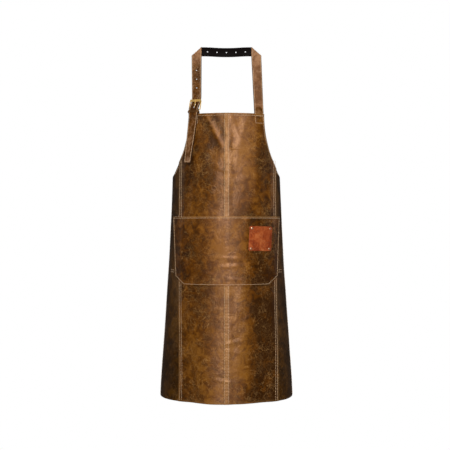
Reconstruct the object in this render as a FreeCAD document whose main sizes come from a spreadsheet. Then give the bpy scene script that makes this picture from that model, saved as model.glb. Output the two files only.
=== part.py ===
import FreeCAD, Part
import math
import os
from FreeCAD import Placement, Rotation, Vector

# Leather work apron with a buckled neck strap and a buckled waist strap, in millimetres.
# +Z is up, the front faces -Y, and the origin is the middle of the underside of the neck band,
# the place that rests on a wearer's neck or on a peg.

SIZES = [
    ("leather", 2.0, "thickness of the panel leather"),
    ("neck_rise", 175.0, "bib top edge up to the underside of the neck band"),
    ("bib_drop", 0.0, "bib girth station below the bib top edge"),
    ("bib_half_width", 158.0, "girth ellipse at the bib top, half width"),
    ("bib_roundness", 0.6962, "girth ellipse at the bib top, depth for each unit of half width"),
    ("bib_depth", "=bib_half_width * bib_roundness", "girth ellipse at the bib top, depth"),
    ("bib_centre", 14.0, "girth ellipse at the bib top, centre in Y"),
    ("underarm_drop", 177.0, "underarm corner below the bib top edge"),
    ("underarm_half_width", 158.5, "girth ellipse at the underarm, half width"),
    ("underarm_roundness", 0.9085, "girth ellipse at the underarm, depth for each unit of half width"),
    ("underarm_depth", "=underarm_half_width * underarm_roundness", "girth ellipse at the underarm, depth"),
    ("underarm_centre", 38.0, "girth ellipse at the underarm, centre in Y"),
    ("waist_drop", 420.0, "waist below the bib top edge"),
    ("waist_half_width", 168.5, "girth ellipse at the waist, half width"),
    ("waist_roundness", 0.8902, "girth ellipse at the waist, depth for each unit of half width"),
    ("waist_depth", "=waist_half_width * waist_roundness", "girth ellipse at the waist, depth"),
    ("waist_centre", 48.0, "girth ellipse at the waist, centre in Y"),
    ("hem_drop", 821.0, "hem below the bib top edge"),
    ("hem_half_width", 197.0, "girth ellipse at the hem, half width"),
    ("hem_roundness", 0.863, "girth ellipse at the hem, depth for each unit of half width"),
    ("hem_depth", "=hem_half_width * hem_roundness", "girth ellipse at the hem, depth"),
    ("hem_centre", 62.0, "girth ellipse at the hem, centre in Y"),
    ("side_edge_back", 47.0, "Y of the free back edges of the side panels"),
    ("bib_top_half", 107.6, "half width of the bib at its top edge"),
    ("armhole_flare", 49.4, "how far the armhole curve runs out from bib corner to underarm"),
    ("seam_half_top", 132.0, "side seam from the middle, at its top"),
    ("seam_half_hem", 136.0, "side seam from the middle, at the hem"),
    ("pocket_drop", 292.0, "pocket mouth below the bib top edge"),
    ("pocket_height", 197.0, "pocket, mouth to bottom"),
    ("pocket_half_width", 154.0, "pocket half width seen from the front"),
    ("pocket_corner", 26.0, "cut-off of the pocket's lower corners"),
    ("pocket_taper", 7.0, "narrowing of each pocket side down to the cut corner"),
    ("mouth_gap", 11.0, "room behind the pocket at the mouth"),
    ("bottom_gap", 6.0, "room behind the pocket at the bottom"),
    ("pocket_margin", 9.0, "sewn margin round the pocket"),
    ("patch_width", 66.0, "blank patch, width seen from the front"),
    ("patch_height", 71.0, "blank patch, height"),
    ("patch_corner", 5.0, "corner radius of the patch"),
    ("patch_leather", 1.6, "thickness of the patch"),
    ("patch_side", 97.0, "patch middle from the apron's middle"),
    ("patch_drop", 356.0, "patch middle below the bib top edge"),
    ("rivet_side", 25.6, "rivet from the patch middle, sideways"),
    ("rivet_up", 28.3, "rivet from the patch middle, up or down"),
    ("rivet_head", 7.0, "rivet head diameter"),
    ("rivet_head_height", 1.3, "rivet head height"),
    ("rivet_shank", 3.0, "rivet shank diameter"),
    ("burr", 6.4, "rivet burr diameter behind the pocket leather"),
    ("burr_height", 0.9, "rivet burr thickness"),
    ("strap_width", 29.0, "neck strap width"),
    ("strap_leather", 1.6, "neck strap, brown outer layer"),
    ("strap_lining", 1.2, "neck strap, black lining layer"),
    ("riser_half_top", 86.6, "neck strap middle from the apron's middle, at the fold"),
    ("riser_half_bib", 93.5, "neck strap middle from the apron's middle, at the bib"),
    ("fold_forward", 18.0, "how far the folds stand in front of the middle of the neck band"),
    ("neck_lean", 18.0, "lean of the neck strap back from upright, degrees"),
    ("sewn_end", 32.0, "length of strap sewn behind the bib"),
    ("strap_turn", 24.0, "turn of the strap at the bib about the upright, degrees"),
    ("hole", 4.2, "diameter of the punched holes"),
    ("hole_pitch", 27.5, "pitch of the punched holes"),
    ("buckle_bar", 3.0, "bar diameter of the neck buckle"),
    ("buckle_room", 2.0, "room beside the neck strap inside its buckle, both sides together"),
    ("buckle_reach", 29.0, "neck buckle, heel bar to top bar"),
    ("buckle_plate", 7.0, "height of the flat face on the neck buckle's top bar"),
    ("tail_length", 140.0, "hanging end of the neck strap below the bib top edge"),
    ("tail_shift", 13.0, "how far the tail's end stands outward of its top"),
    ("tail_gap", 1.2, "room between the hanging tail and the bib"),
    ("chape_inset", 1.2, "how much narrower than its strap a chape is, on each side"),
    ("keeper_band", 6.0, "keeper width along the strap"),
    ("heel_above_bib", "=1.5 * leather + buckle_bar / 2 + keeper_band + 1.5",
     "heel bar above the bib top edge, along the strap, clear of the chape and the keeper"),
    ("keeper_leather", 1.4, "keeper thickness"),
    ("fit", 0.4, "running room round straps, keepers and prongs"),
    ("waist_strap_drop", 450.0, "middle of the waist strap below the bib top edge"),
    ("waist_strap_width", 16.0, "waist strap width"),
    ("waist_strap_leather", 2.5, "waist strap thickness"),
    ("waist_back_depth", 85.0, "waist strap behind the waist station's centre"),
    ("waist_flat_half", 100.0, "half length of the straight run across the back"),
    ("waist_tab", 30.0, "length of waist strap sewn inside each side panel"),
    ("waist_bar", 2.4, "bar diameter of the waist buckle"),
    ("waist_buckle_room", 1.5, "room beside the waist strap inside its buckle, both sides together"),
    ("waist_reach", 20.0, "waist buckle, heel bar to far bar"),
    ("waist_tail_start", 44.0, "where the waist strap's free tail starts, from the heel bar"),
    ("waist_tail_end", 98.0, "where the waist strap's free tail ends, from the heel bar"),
    ("waist_keeper_at", 32.0, "middle of the waist keeper from the heel bar"),
    ("waist_keeper_band", 8.0, "waist keeper width along the strap"),
]

doc = FreeCAD.newDocument("leather_apron")
sheet = doc.addObject("Spreadsheet::Sheet", "sizes")
for row, (alias, value, meaning) in enumerate(SIZES, start=1):
    sheet.set(f"A{row}", meaning)
    sheet.setAlias(f"B{row}", alias)
    sheet.set(f"B{row}", str(value))
    doc.recompute()

SUB_PARTS = []


def size(alias):
    return float(sheet.get(alias))


def add(kind, name, bound):
    """A document object whose sizes are bound to the sheet."""
    item = doc.addObject(kind, name)
    for path, expression in bound.items():
        item.setExpression(path, expression)
    return item


def keep(item, label):
    """Marks a document object as a finished sub-part."""
    item.Label = label
    SUB_PARTS.append(item)
    return item


def shaped(name, shape, placement=None):
    """A feature holding a shape worked out from the sheet."""
    item = doc.addObject("Part::Feature", name)
    item.Shape = shape
    item.Placement = placement or Placement()
    return item


def boolean(kind, name, base, tool):
    item = doc.addObject(kind, name)
    item.Base = base
    item.Tool = tool
    return item


def cut(name, base, tool):
    return boolean("Part::Cut", name, base, tool)


def common(name, base, tool):
    return boolean("Part::Common", name, base, tool)


def joined(name, items):
    item = doc.addObject("Part::MultiFuse", name)
    item.Shapes = items
    item.Refine = False
    return item


# ---- girth: the surface that the apron is bent round -------------------------------------------

STATIONS = ["bib", "underarm", "waist", "hem"]


def girth_section(name, centre, drop, half_width, depth):
    """One level ellipse of the girth."""
    return add("Part::Ellipse", name, {
        "MajorRadius": half_width,
        "MinorRadius": depth,
        "Placement.Base.y": centre,
        "Placement.Base.z": f"-sizes.neck_rise - {drop}",
    })


def girth_loft(name, offset):
    """The closed girth, moved out of the leather's outer face by an offset expression."""
    sections = [
        girth_section(
            f"{name}_{place}",
            f"sizes.{place}_centre",
            f"sizes.{place}_drop",
            f"sizes.{place}_half_width + {offset}",
            f"sizes.{place}_depth + {offset}",
        )
        for place in STATIONS
    ]
    loft = doc.addObject("Part::Loft", name)
    loft.Sections = sections
    loft.Solid = True
    loft.Ruled = True
    return loft


def girth_at(drop):
    """Half width, depth and centre of the girth at a drop below the bib top edge."""
    upper = "bib"
    for place in STATIONS[:-1]:
        if size(f"{place}_drop") <= drop:
            upper = place
    lower = STATIONS[STATIONS.index(upper) + 1]
    share = (drop - size(f"{upper}_drop")) / (size(f"{lower}_drop") - size(f"{upper}_drop"))
    return [
        size(f"{upper}_{q}") + (size(f"{lower}_{q}") - size(f"{upper}_{q}")) * share
        for q in ("half_width", "depth", "centre")
    ]


def level(drop):
    return -size("neck_rise") - drop


def front_prism(name, edges):
    """A closed outline in the XZ plane, run from in front of the apron to the side edges."""
    ahead = -400.0
    face = Part.Face(Part.Wire(edges))
    face.translate(Vector(0, ahead, 0))
    return shaped(name, face.extrude(Vector(0, size("side_edge_back") - ahead, 0)))


def polygon_edges(points):
    corners = [Vector(x, 0, z) for x, z in points]
    return [Part.LineSegment(a, b).toShape() for a, b in zip(corners, corners[1:] + corners[:1])]


def mirrored_x(shape):
    return shape.mirror(Vector(0, 0, 0), Vector(1, 0, 0))


girth_outer = girth_loft("girth_outer", "0")
girth_inner = girth_loft("girth_inner", "0 - sizes.leather")
skin = cut("skin", girth_outer, girth_inner)
doc.recompute()


# ---- panels: two front panels and two side panels, sewn edge over edge -----------------------

def armhole_radius():
    flare = size("armhole_flare")
    drop = size("underarm_drop")
    return (flare * flare + drop * drop) / (2 * flare)


def armhole_drop(half_width):
    """Drop of the armhole curve where it passes a given distance from the middle."""
    radius = armhole_radius()
    out = half_width - size("bib_top_half")
    return math.sqrt(radius * radius - (radius - out) ** 2)


def armhole_edge(start_drop, end_drop):
    """The armhole arc between two drops, for the right side."""
    radius = armhole_radius()
    points = []
    for drop in (start_drop, (start_drop + end_drop) / 2, end_drop):
        out = radius - math.sqrt(radius * radius - drop * drop)
        points.append(Vector(size("bib_top_half") + out, 0, level(drop)))
    return Part.Arc(*points).toShape(), points[0], points[-1]


def front_outline():
    arc, corner, seam_top = armhole_edge(0, armhole_drop(size("seam_half_top")))
    seam_hem = Vector(size("seam_half_hem"), 0, level(size("hem_drop")))
    middle_hem = Vector(0, 0, level(size("hem_drop")))
    middle_top = Vector(0, 0, level(0))
    lines = [(seam_top, seam_hem), (seam_hem, middle_hem), (middle_hem, middle_top), (middle_top, corner)]
    return [arc] + [Part.LineSegment(a, b).toShape() for a, b in lines]


def side_outline():
    arc, seam_top, underarm = armhole_edge(armhole_drop(size("seam_half_top")), size("underarm_drop"))
    beyond = size("hem_half_width") + size("leather")
    ledge = Vector(beyond, 0, level(size("underarm_drop")))
    outer_hem = Vector(beyond, 0, level(size("hem_drop")))
    seam_hem = Vector(size("seam_half_hem"), 0, level(size("hem_drop")))
    lines = [(underarm, ledge), (ledge, outer_hem), (outer_hem, seam_hem), (seam_hem, seam_top)]
    return [arc] + [Part.LineSegment(a, b).toShape() for a, b in lines]


def panel(label, outline, left):
    prism = front_prism(f"{label}_outline", outline)
    if left:
        prism.Shape = mirrored_x(prism.Shape)
    return keep(common(label, skin, prism), label)


front_panel_left = panel("front_panel_left", front_outline(), True)
front_panel_right = panel("front_panel_right", front_outline(), False)
side_panel_left = panel("side_panel_left", side_outline(), True)
side_panel_right = panel("side_panel_right", side_outline(), False)


# ---- pocket: one wide sheet sewn on round three sides, open at the mouth -----------------------

POCKET_EDGES = [
    ("mouth", "sizes.pocket_drop", "underarm", "waist", "sizes.mouth_gap"),
    ("bottom", "(sizes.pocket_drop + sizes.pocket_height)", "waist", "hem", "sizes.bottom_gap"),
]


def pocket_loft(name, offset):
    """The girth between pocket mouth and bottom, standing off the panels by the pocket's gap."""
    sections = []
    for edge, drop, upper, lower, gap in POCKET_EDGES:
        share = f"(({drop} - sizes.{upper}_drop) / (sizes.{lower}_drop - sizes.{upper}_drop))"
        width, depth, centre = (
            f"sizes.{upper}_{q} + (sizes.{lower}_{q} - sizes.{upper}_{q}) * {share}"
            for q in ("half_width", "depth", "centre")
        )
        sections.append(girth_section(
            f"{name}_{edge}", centre, drop, f"{width} + {offset}", f"{depth} + {gap} + {offset}"))
    loft = doc.addObject("Part::Loft", name)
    loft.Sections = sections
    loft.Solid = True
    loft.Ruled = True
    return loft


def pocket_outline(inset, lip):
    """Front outline of the pocket, drawn in by an inset; the lip runs it on past the mouth."""
    top = level(size("pocket_drop")) + lip
    bottom = level(size("pocket_drop") + size("pocket_height")) + inset
    corner = size("pocket_corner")
    half = size("pocket_half_width") - inset
    half_low = half - size("pocket_taper")
    right = [(half, top), (half_low, bottom + corner), (half_low - corner, bottom)]
    left = [(-x, z) for x, z in reversed(right)]
    return polygon_edges(right + left)


pocket_blank = common(
    "pocket_blank", pocket_loft("pocket_outer", "sizes.leather"), front_prism("pocket_edge", pocket_outline(0, 0)))
pocket_lip = 20.0
pocket_room = common(
    "pocket_room",
    pocket_loft("pocket_inner", "0"),
    front_prism("pocket_room_edge", pocket_outline(size("pocket_margin"), pocket_lip)))
pocket_sheet = cut("pocket_sheet", cut("pocket_off_panels", pocket_blank, girth_outer), pocket_room)
doc.recompute()


# ---- patch and rivets: a small blank leather patch held by four copper rivets ------------------

def pocket_face(x, drop):
    """A point on the pocket's outer face and its outward direction there."""
    ends = []
    for edge_drop, gap in (
            (size("pocket_drop"), size("mouth_gap")),
            (size("pocket_drop") + size("pocket_height"), size("bottom_gap"))):
        half, depth, centre = girth_at(edge_drop)
        ends.append((half + size("leather"), depth + gap + size("leather"), centre))
    share = (drop - size("pocket_drop")) / size("pocket_height")
    half, depth, centre = (a + (b - a) * share for a, b in zip(*ends))
    point = Vector(x, centre - depth * math.sqrt(1 - (x / half) ** 2), level(drop))
    outward = Vector(point.x / half ** 2, (point.y - centre) / depth ** 2, 0)
    return point, outward.normalize()


def patch_outline():
    radius = size("patch_corner")
    box = Part.makeBox(
        size("patch_width"), 1, size("patch_height"),
        Vector(size("patch_side") - size("patch_width") / 2, -0.5,
               level(size("patch_drop")) - size("patch_height") / 2))
    upright = [e for e in box.Edges if abs(e.Vertexes[0].Y - e.Vertexes[1].Y) > 0.5]
    rounded = box.makeFillet(radius, upright)
    front = min(rounded.Faces, key=lambda f: f.CenterOfMass.y)
    return front.OuterWire.Edges


def rivet_places():
    return [
        pocket_face(size("patch_side") + i * size("rivet_side"), size("patch_drop") - k * size("rivet_up"))
        for i in (-1, 1) for k in (-1, 1)
    ]


def rivet_piece(diameter, start, end):
    """Four discs or shanks between two distances out from the pocket's outer face."""
    return Part.Compound([
        Part.makeCylinder(diameter / 2, end - start, point + outward * start, outward)
        for point, outward in rivet_places()
    ])


patch_cover = pocket_loft("patch_outer", "sizes.leather + sizes.patch_leather")
patch_blank = cut(
    "patch_blank", common("patch_slab", patch_cover, front_prism("patch_edge", patch_outline())),
    joined("patch_under", [pocket_loft("patch_back", "sizes.leather"), girth_outer]))
burr_back = -size("leather") - size("burr_height")
head_front = size("patch_leather") + size("rivet_head_height")
shanks = shaped("rivet_shanks", rivet_piece(size("rivet_shank"), burr_back, head_front - 0.5))
pocket = keep(cut("pocket", pocket_sheet, shanks), "pocket")
pocket_patch = keep(cut("pocket_patch", patch_blank, shanks), "pocket_patch")
doc.recompute()
sheets = Part.Compound([pocket_sheet.Shape, patch_blank.Shape])
heads = rivet_piece(size("rivet_head"), size("patch_leather") - 0.2, head_front).cut(sheets)
rivets = [head.fuse(shank) for head, shank in zip(heads.Solids, shanks.Shape.Solids)]
patch_rivets = keep(shaped("patch_rivets", Part.Compound(rivets)), "patch_rivets")
burrs = rivet_piece(size("burr"), burr_back, 0.2 - size("leather")).cut(sheets).cut(shanks.Shape)
patch_rivet_burrs = keep(shaped("patch_rivet_burrs", Part.Compound(burrs.Solids)), "patch_rivet_burrs")


# ---- straps: local frame of a buckle ------------------------------------------------------------
# In a buckle's frame X runs along the heel bar, Z along the strap from the heel bar to the far bar
# and Y from the outer side of the strap to the wearer's side.  The origin is the heel bar's middle.

def framed(origin, across, along):
    """Placement whose X is the heel bar's direction and whose Z is nearest to the strap's run."""
    x_axis = Vector(across).normalize()
    z_axis = (along - x_axis * along.dot(x_axis)).normalize()
    return Placement(origin, Rotation(x_axis, z_axis.cross(x_axis), z_axis, "XZY"))


def ribbon(path, thickness, width):
    """A strap run: path gives (along, outer face) points, and the strap lies behind that face."""
    outer = [Vector(-width / 2, depth, along) for along, depth in path]
    inner = [point + Vector(0, thickness, 0) for point in reversed(outer)]
    face = Part.Face(Part.makePolygon(outer + inner + outer[:1]))
    return face.extrude(Vector(width, 0, 0))


def bar_ring(inner_width, reach, bar):
    """A buckle frame bent from round bar, heel bar at the origin and far bar at the reach."""
    half = inner_width / 2 + bar / 2
    bend = bar * 0.9
    corners = [Vector(half, 0, 0), Vector(half, 0, reach), Vector(-half, 0, reach), Vector(-half, 0, 0)]
    edges = []
    stops = []
    for i, corner in enumerate(corners):
        back = (corners[i - 1] - corner).normalize() * bend
        on = (corners[(i + 1) % 4] - corner).normalize() * bend
        middle = corner + (back + on) * (1 - math.sqrt(0.5))
        stops.append((corner + back, corner + on))
        edges.append(Part.Arc(corner + back, middle, corner + on).toShape())
        if i:
            edges.append(Part.LineSegment(stops[i - 1][1], stops[i][0]).toShape())
    edges.append(Part.LineSegment(stops[3][1], stops[0][0]).toShape())
    path = Part.Wire(Part.__sortEdges__(edges))
    start = path.OrderedEdges[0]
    place = start.valueAt(start.FirstParameter)
    profile = Part.Wire(Part.makeCircle(bar / 2, place, start.tangentAt(start.FirstParameter)))
    return path.makePipeShell([profile], True, True)


def prong_shape(bar, reach, fit):
    """A prong: an eye round the heel bar and a tapered shank that rests on the far bar."""
    eye = bar / 2 + 1.1
    thick = bar * 0.42
    shaft_start = Vector(0, -bar * 0.4, 0)
    shaft_end = Vector(0, -(bar / 2 + thick + fit / 4), reach + bar * 0.7)
    run = shaft_end - shaft_start
    barrel = Part.makeCylinder(eye, bar * 1.1, Vector(-bar * 0.55, 0, 0), Vector(1, 0, 0))
    shaft = Part.makeCone(thick, thick * 0.8, run.Length, shaft_start, run)
    bore = Part.makeCylinder(bar / 2 + fit / 8, bar * 3, Vector(-bar * 1.5, 0, 0), Vector(1, 0, 0))
    return barrel.fuse(shaft).cut(bore).removeSplitter()


def prong_slot(width, start, end, depth):
    """The slot a prong passes through, from start to end along the strap."""
    return Part.makeBox(width, 2 * depth, end - start, Vector(-width / 2, -depth, start))


def keeper_ring(width, front, back, band, thickness, middle):
    """A loop round the strap layers between two depths."""
    room = Part.makeBox(width, back - front, band, Vector(-width / 2, front, middle - band / 2))
    hull = Part.makeBox(
        width + 2 * thickness, back - front + 2 * thickness, band,
        Vector(-width / 2 - thickness, front - thickness, middle - band / 2))
    return hull.cut(room)


# ---- neck strap: brown leather over black lining, folded at 45 degrees at each shoulder ----------

LEAN = math.radians(size("neck_lean"))
UP_STRAP = Vector(0, math.sin(LEAN), math.cos(LEAN))
BACK = Vector(0, math.cos(LEAN), -math.sin(LEAN))
STRAP_STACK = size("strap_leather") + size("strap_lining")
TURN = math.radians(size("strap_turn"))


def bib_back(side):
    """Where the strap's middle meets the back of the bib at its top edge."""
    half, depth, centre = girth_at(0)
    half -= size("leather")
    depth -= size("leather")
    x = size("riser_half_bib")
    return Vector(side * x, centre - depth * math.sqrt(1 - (x / half) ** 2), level(0))


def fold_middle(side):
    return Vector(side * size("riser_half_top"), -size("fold_forward"), 0)


def strap_section(middle, across, inward, front, back):
    """Closed outline across the strap, between two depths behind the given middle."""
    half = across * (size("strap_width") / 2)
    corners = [
        middle - half + inward * front, middle + half + inward * front,
        middle + half + inward * back, middle - half + inward * back,
    ]
    return Part.makePolygon(corners + corners[:1])


def past_fold(side, inset):
    """A block on the far side of a shoulder's fold line, drawn in by an inset."""
    outer = fold_middle(side) + Vector(side * size("strap_width") / 2, 0, 0)
    normal = (Vector(side, 0, 0) + UP_STRAP).normalize()
    reach = 4 * size("strap_width")
    block = Part.makeBox(reach, 2 * reach, 2 * reach, Vector(-inset, -reach, -reach))
    block.Placement = Placement(outer, Rotation(normal, Vector(), BACK, "XZY"))
    return block


def band_layer(front, back):
    """A layer of the band behind the neck, flat at the folds and bowed back in the middle."""
    inner_x = size("riser_half_top") - size("strap_width") / 2
    outer_x = size("riser_half_top") + size("strap_width") / 2
    bow = size("fold_forward") - 2 * STRAP_STACK + size("strap_leather") / 2
    edges = []
    ends = []
    for depth in (front, back):
        y = depth - size("fold_forward")
        for side in (-1, 1):
            flat_start = Vector(side * outer_x, y, 0)
            flat_end = Vector(side * inner_x, y, 0)
            bend = Part.BezierCurve()
            bend.setPoles([
                flat_end, Vector(side * inner_x / 2, y, 0),
                Vector(side * inner_x / 2, y + bow, 0), Vector(0, y + bow, 0),
            ])
            edges += [Part.LineSegment(flat_start, flat_end).toShape(), bend.toShape()]
            ends.append(flat_start)
    edges.append(Part.LineSegment(ends[0], ends[2]).toShape())
    edges.append(Part.LineSegment(ends[1], ends[3]).toShape())
    underside = Part.Face(Part.Wire(Part.__sortEdges__(edges)))
    return underside.extrude(UP_STRAP * size("strap_width"))


def fold_wall(side, front, back):
    """The leather turned over at a fold, closing the stack between the riser and the band."""
    wedge = Part.Face(strap_section(fold_middle(side), Vector(1, 0, 0), BACK, front, back))
    wedge = wedge.extrude(UP_STRAP * size("strap_width"))
    return wedge.cut(past_fold(side, 0)).common(past_fold(side, size("strap_leather")))


def riser(side, sections, front, back, inset):
    """One upright run of the strap, up through the given lower sections to its fold."""
    top = strap_section(fold_middle(side), Vector(1, 0, 0), BACK, front, back)
    lofted = Part.makeLoft(sections + [top], True, True)
    tip = Part.Face(top).extrude(UP_STRAP * size("strap_width")).cut(past_fold(side, inset))
    return lofted.fuse(tip)


def along_riser(side):
    return (fold_middle(side) - bib_back(side)).normalize()


def sewn_block(outer, inner, middle_x, width, length):
    """Strap or chape lying on the back of the bib, between two girths, below the top edge."""
    across = width * math.cos(TURN)
    outline = Part.makeBox(
        across, 300, length, Vector(middle_x - across / 2, -300, level(0) - length))
    return outer.Shape.cut(inner.Shape).common(outline)


strap_back_brown = girth_loft("strap_back_brown", "0 - sizes.leather - sizes.strap_leather")
strap_back_black = girth_loft(
    "strap_back_black", "0 - sizes.leather - sizes.strap_leather - sizes.strap_lining")
chape_back = girth_loft("chape_back", "0 - 3 * sizes.leather")
doc.recompute()

# the left run wears the buckle; its frame follows the strap
LEFT_ACROSS = Vector(math.cos(TURN), -math.sin(TURN), 0)
RIGHT_ACROSS = Vector(math.cos(TURN), math.sin(TURN), 0)
neck_frame = framed(Vector(), LEFT_ACROSS, along_riser(-1))
heel = bib_back(-1) + neck_frame.Rotation.multVec(Vector(0, size("leather"), size("heel_above_bib")))
neck_frame.Base = heel
NECK_BAR = size("buckle_bar")
behind_bar = NECK_BAR / 2 + size("fit")
chape_face = NECK_BAR / 2 + size("fit") / 2 + size("leather")
over_heel = -chape_face - size("fit") - STRAP_STACK
at_bib = -2.2 * size("leather") - size("fit") - STRAP_STACK
buckle_top = size("buckle_reach") + 4 * NECK_BAR
neck_path = [
    (buckle_top, behind_bar), (size("buckle_reach") - NECK_BAR, behind_bar),
    (chape_face, over_heel), (-size("heel_above_bib"), min(at_bib, over_heel)),
]
slot_start = NECK_BAR
slot_end = size("buckle_reach") - NECK_BAR / 2


def left_layer(front, back, inset):
    path = [(along, depth + front) for along, depth in neck_path]
    run = ribbon(path, back - front, size("strap_width"))
    run = run.cut(prong_slot(size("hole"), slot_start, slot_end, 6 * NECK_BAR))
    run.Placement = neck_frame
    turn = neck_frame.Rotation
    lower = strap_section(
        neck_frame.multVec(Vector(0, behind_bar, buckle_top)), turn.multVec(Vector(1, 0, 0)),
        turn.multVec(Vector(0, 1, 0)), front, back)
    return run.fuse(riser(-1, [lower], front, back, inset))


def right_layer(outer, inner, front, back, inset):
    inward = along_riser(1).cross(RIGHT_ACROSS).normalize()
    lower = strap_section(bib_back(1), RIGHT_ACROSS, inward, front, back)
    sewn = sewn_block(outer, inner, size("riser_half_bib"), size("strap_width"), size("sewn_end"))
    return sewn.fuse(riser(1, [lower], front, back, inset))


def strap_holes():
    """Holes across the band and down the left run, punched through both layers."""
    radius = size("hole") / 2
    depth = 12 * size("leather")
    middle = UP_STRAP * (size("strap_width") / 2)
    punches = [
        Part.makeCylinder(radius, 2 * depth, middle + Vector(i * size("hole_pitch"), -depth, 0), Vector(0, 1, 0))
        for i in range(-2, 3)
    ]
    top = fold_middle(-1)
    down = (neck_frame.multVec(Vector(0, behind_bar, buckle_top)) - top).normalize()
    for i in range(3):
        place = top + down * (size("hole_pitch") * (1.7 + i))
        punches.append(Part.makeCylinder(radius, 2 * depth, place - BACK * depth, BACK))
    return punches


brown = size("strap_leather")
black = STRAP_STACK
outer_band = 2 * STRAP_STACK
strap_outer = left_layer(0, brown, 0).multiFuse([
    right_layer(girth_inner, strap_back_brown, 0, brown, 0),
    band_layer(outer_band - brown, outer_band).cut(past_fold(-1, 0)).cut(past_fold(1, 0)),
    fold_wall(-1, 0, outer_band), fold_wall(1, 0, outer_band),
]).cut(strap_holes()).removeSplitter()
strap_inner = left_layer(brown, black, brown).multiFuse([
    right_layer(strap_back_brown, strap_back_black, brown, black, brown),
    band_layer(black, outer_band - brown).cut(past_fold(-1, brown)).cut(past_fold(1, brown)),
]).cut(strap_holes())
neck_strap = keep(shaped("neck_strap", strap_outer), "neck_strap")
neck_strap_lining = keep(shaped("neck_strap_lining", strap_inner.cut(strap_outer)), "neck_strap_lining")


# ---- hanging tail of the neck strap: lies down the front of the bib, lifts at the keeper ----------

def tail_layer(label, near, far):
    """One layer of the tail between two girths, leaning outward down the bib."""
    top_x = -size("riser_half_bib")
    bottom_x = top_x - size("tail_shift")
    half = size("strap_width") / 2 * math.cos(TURN)
    top = level(0)
    bottom = level(size("tail_length"))
    outline = front_prism(f"{label}_outline", polygon_edges(
        [(top_x - half, top), (top_x + half, top), (bottom_x + half * 0.8, bottom), (bottom_x - half * 0.8, bottom)]))
    return keep(common(label, cut(f"{label}_layer", far, near), outline), label)


tail_near = girth_loft("tail_near", "sizes.tail_gap")
tail_middle = girth_loft("tail_middle", "sizes.tail_gap + sizes.strap_lining")
tail_far = girth_loft("tail_far", "sizes.tail_gap + sizes.strap_lining + sizes.strap_leather")
neck_tail_lining = tail_layer("neck_tail_lining", tail_near, tail_middle)
neck_tail = tail_layer("neck_tail", tail_middle, tail_far)


# ---- neck buckle: chape sewn behind the bib, brass frame and prong, leather keeper -----------------

def chape(bar, half_thickness, width, length):
    """Leather turned round the heel bar, slotted for the prong's eye."""
    wrap = Part.makeCylinder(
        bar / 2 + size("fit") / 2 + size("leather"), width, Vector(-width / 2, 0, 0), Vector(1, 0, 0))
    doubled = Part.makeBox(
        width, 2 * half_thickness, length, Vector(-width / 2, -half_thickness, -length))
    room = Part.makeCylinder(bar / 2 + size("fit") / 10, 3 * width, Vector(-1.5 * width, 0, 0), Vector(1, 0, 0))
    eye = bar / 2 + 1.1 + size("fit")
    slot = Part.makeBox(bar * 1.1 + 2 * size("fit"), 8 * eye, 4 * eye,
                        Vector(-bar * 0.55 - size("fit"), -4 * eye, -eye))
    return wrap.fuse(doubled).cut(room).cut(slot)


chape_width = size("strap_width") - 2 * size("chape_inset")
anchor_upper = chape(NECK_BAR, size("leather"), chape_width, 1.6 * size("heel_above_bib"))
anchor_upper.Placement = neck_frame
above_bib = Part.makeBox(800, 800, 400, Vector(-400, -400, level(0)))
anchor_sewn = sewn_block(
    girth_inner, chape_back, -size("riser_half_bib"), chape_width, size("sewn_end"))
neck_buckle_anchor = keep(
    shaped("neck_buckle_anchor", anchor_upper.common(above_bib).fuse(anchor_sewn)), "neck_buckle_anchor")
neck_inner = size("strap_width") + size("buckle_room")
neck_plate = Part.makeBox(
    neck_inner + NECK_BAR, NECK_BAR / 3, size("buckle_plate"),
    Vector(-(neck_inner + NECK_BAR) / 2, -0.42 * NECK_BAR, size("buckle_reach") - size("buckle_plate") / 2))
neck_ring = bar_ring(neck_inner, size("buckle_reach"), NECK_BAR).fuse(neck_plate)
neck_buckle_frame = keep(shaped("neck_buckle_frame", neck_ring, neck_frame), "neck_buckle_frame")
neck_buckle_prong = keep(
    shaped("neck_buckle_prong", prong_shape(NECK_BAR, size("buckle_reach"), size("fit")), neck_frame),
    "neck_buckle_prong")
neck_keeper = keep(
    shaped("neck_keeper", keeper_ring(
        size("strap_width") + 2 * size("fit"), min(at_bib, over_heel) - size("fit"),
        size("leather") + size("fit"), size("keeper_band"), size("keeper_leather"),
        -chape_face - size("keeper_band") / 2 - size("fit")), neck_frame),
    "neck_keeper")


# ---- waist strap: sewn inside the side panels, buckled across the back -----------------------------

waist_half, waist_depth_there, waist_middle = girth_at(size("waist_strap_drop"))
waist_back = waist_middle + size("waist_back_depth")
WAIST_BAR = size("waist_bar")
WAIST_LEATHER = size("waist_strap_leather")
WAIST_WIDTH = size("waist_strap_width")
HEEL_SIDE = -size("waist_reach") / 2
waist_frame = framed(
    Vector(HEEL_SIDE, waist_back, level(size("waist_strap_drop"))), Vector(0, 0, 1), Vector(1, 0, 0))
waist_tab_back = girth_loft("waist_tab_back", "0 - sizes.leather - sizes.waist_strap_leather")
doc.recompute()
waist_behind = WAIST_BAR / 2 + size("fit")
waist_chape = WAIST_BAR / 2 + size("fit") / 2 + size("leather")
waist_over = -waist_chape - size("fit") - WAIST_LEATHER


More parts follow.
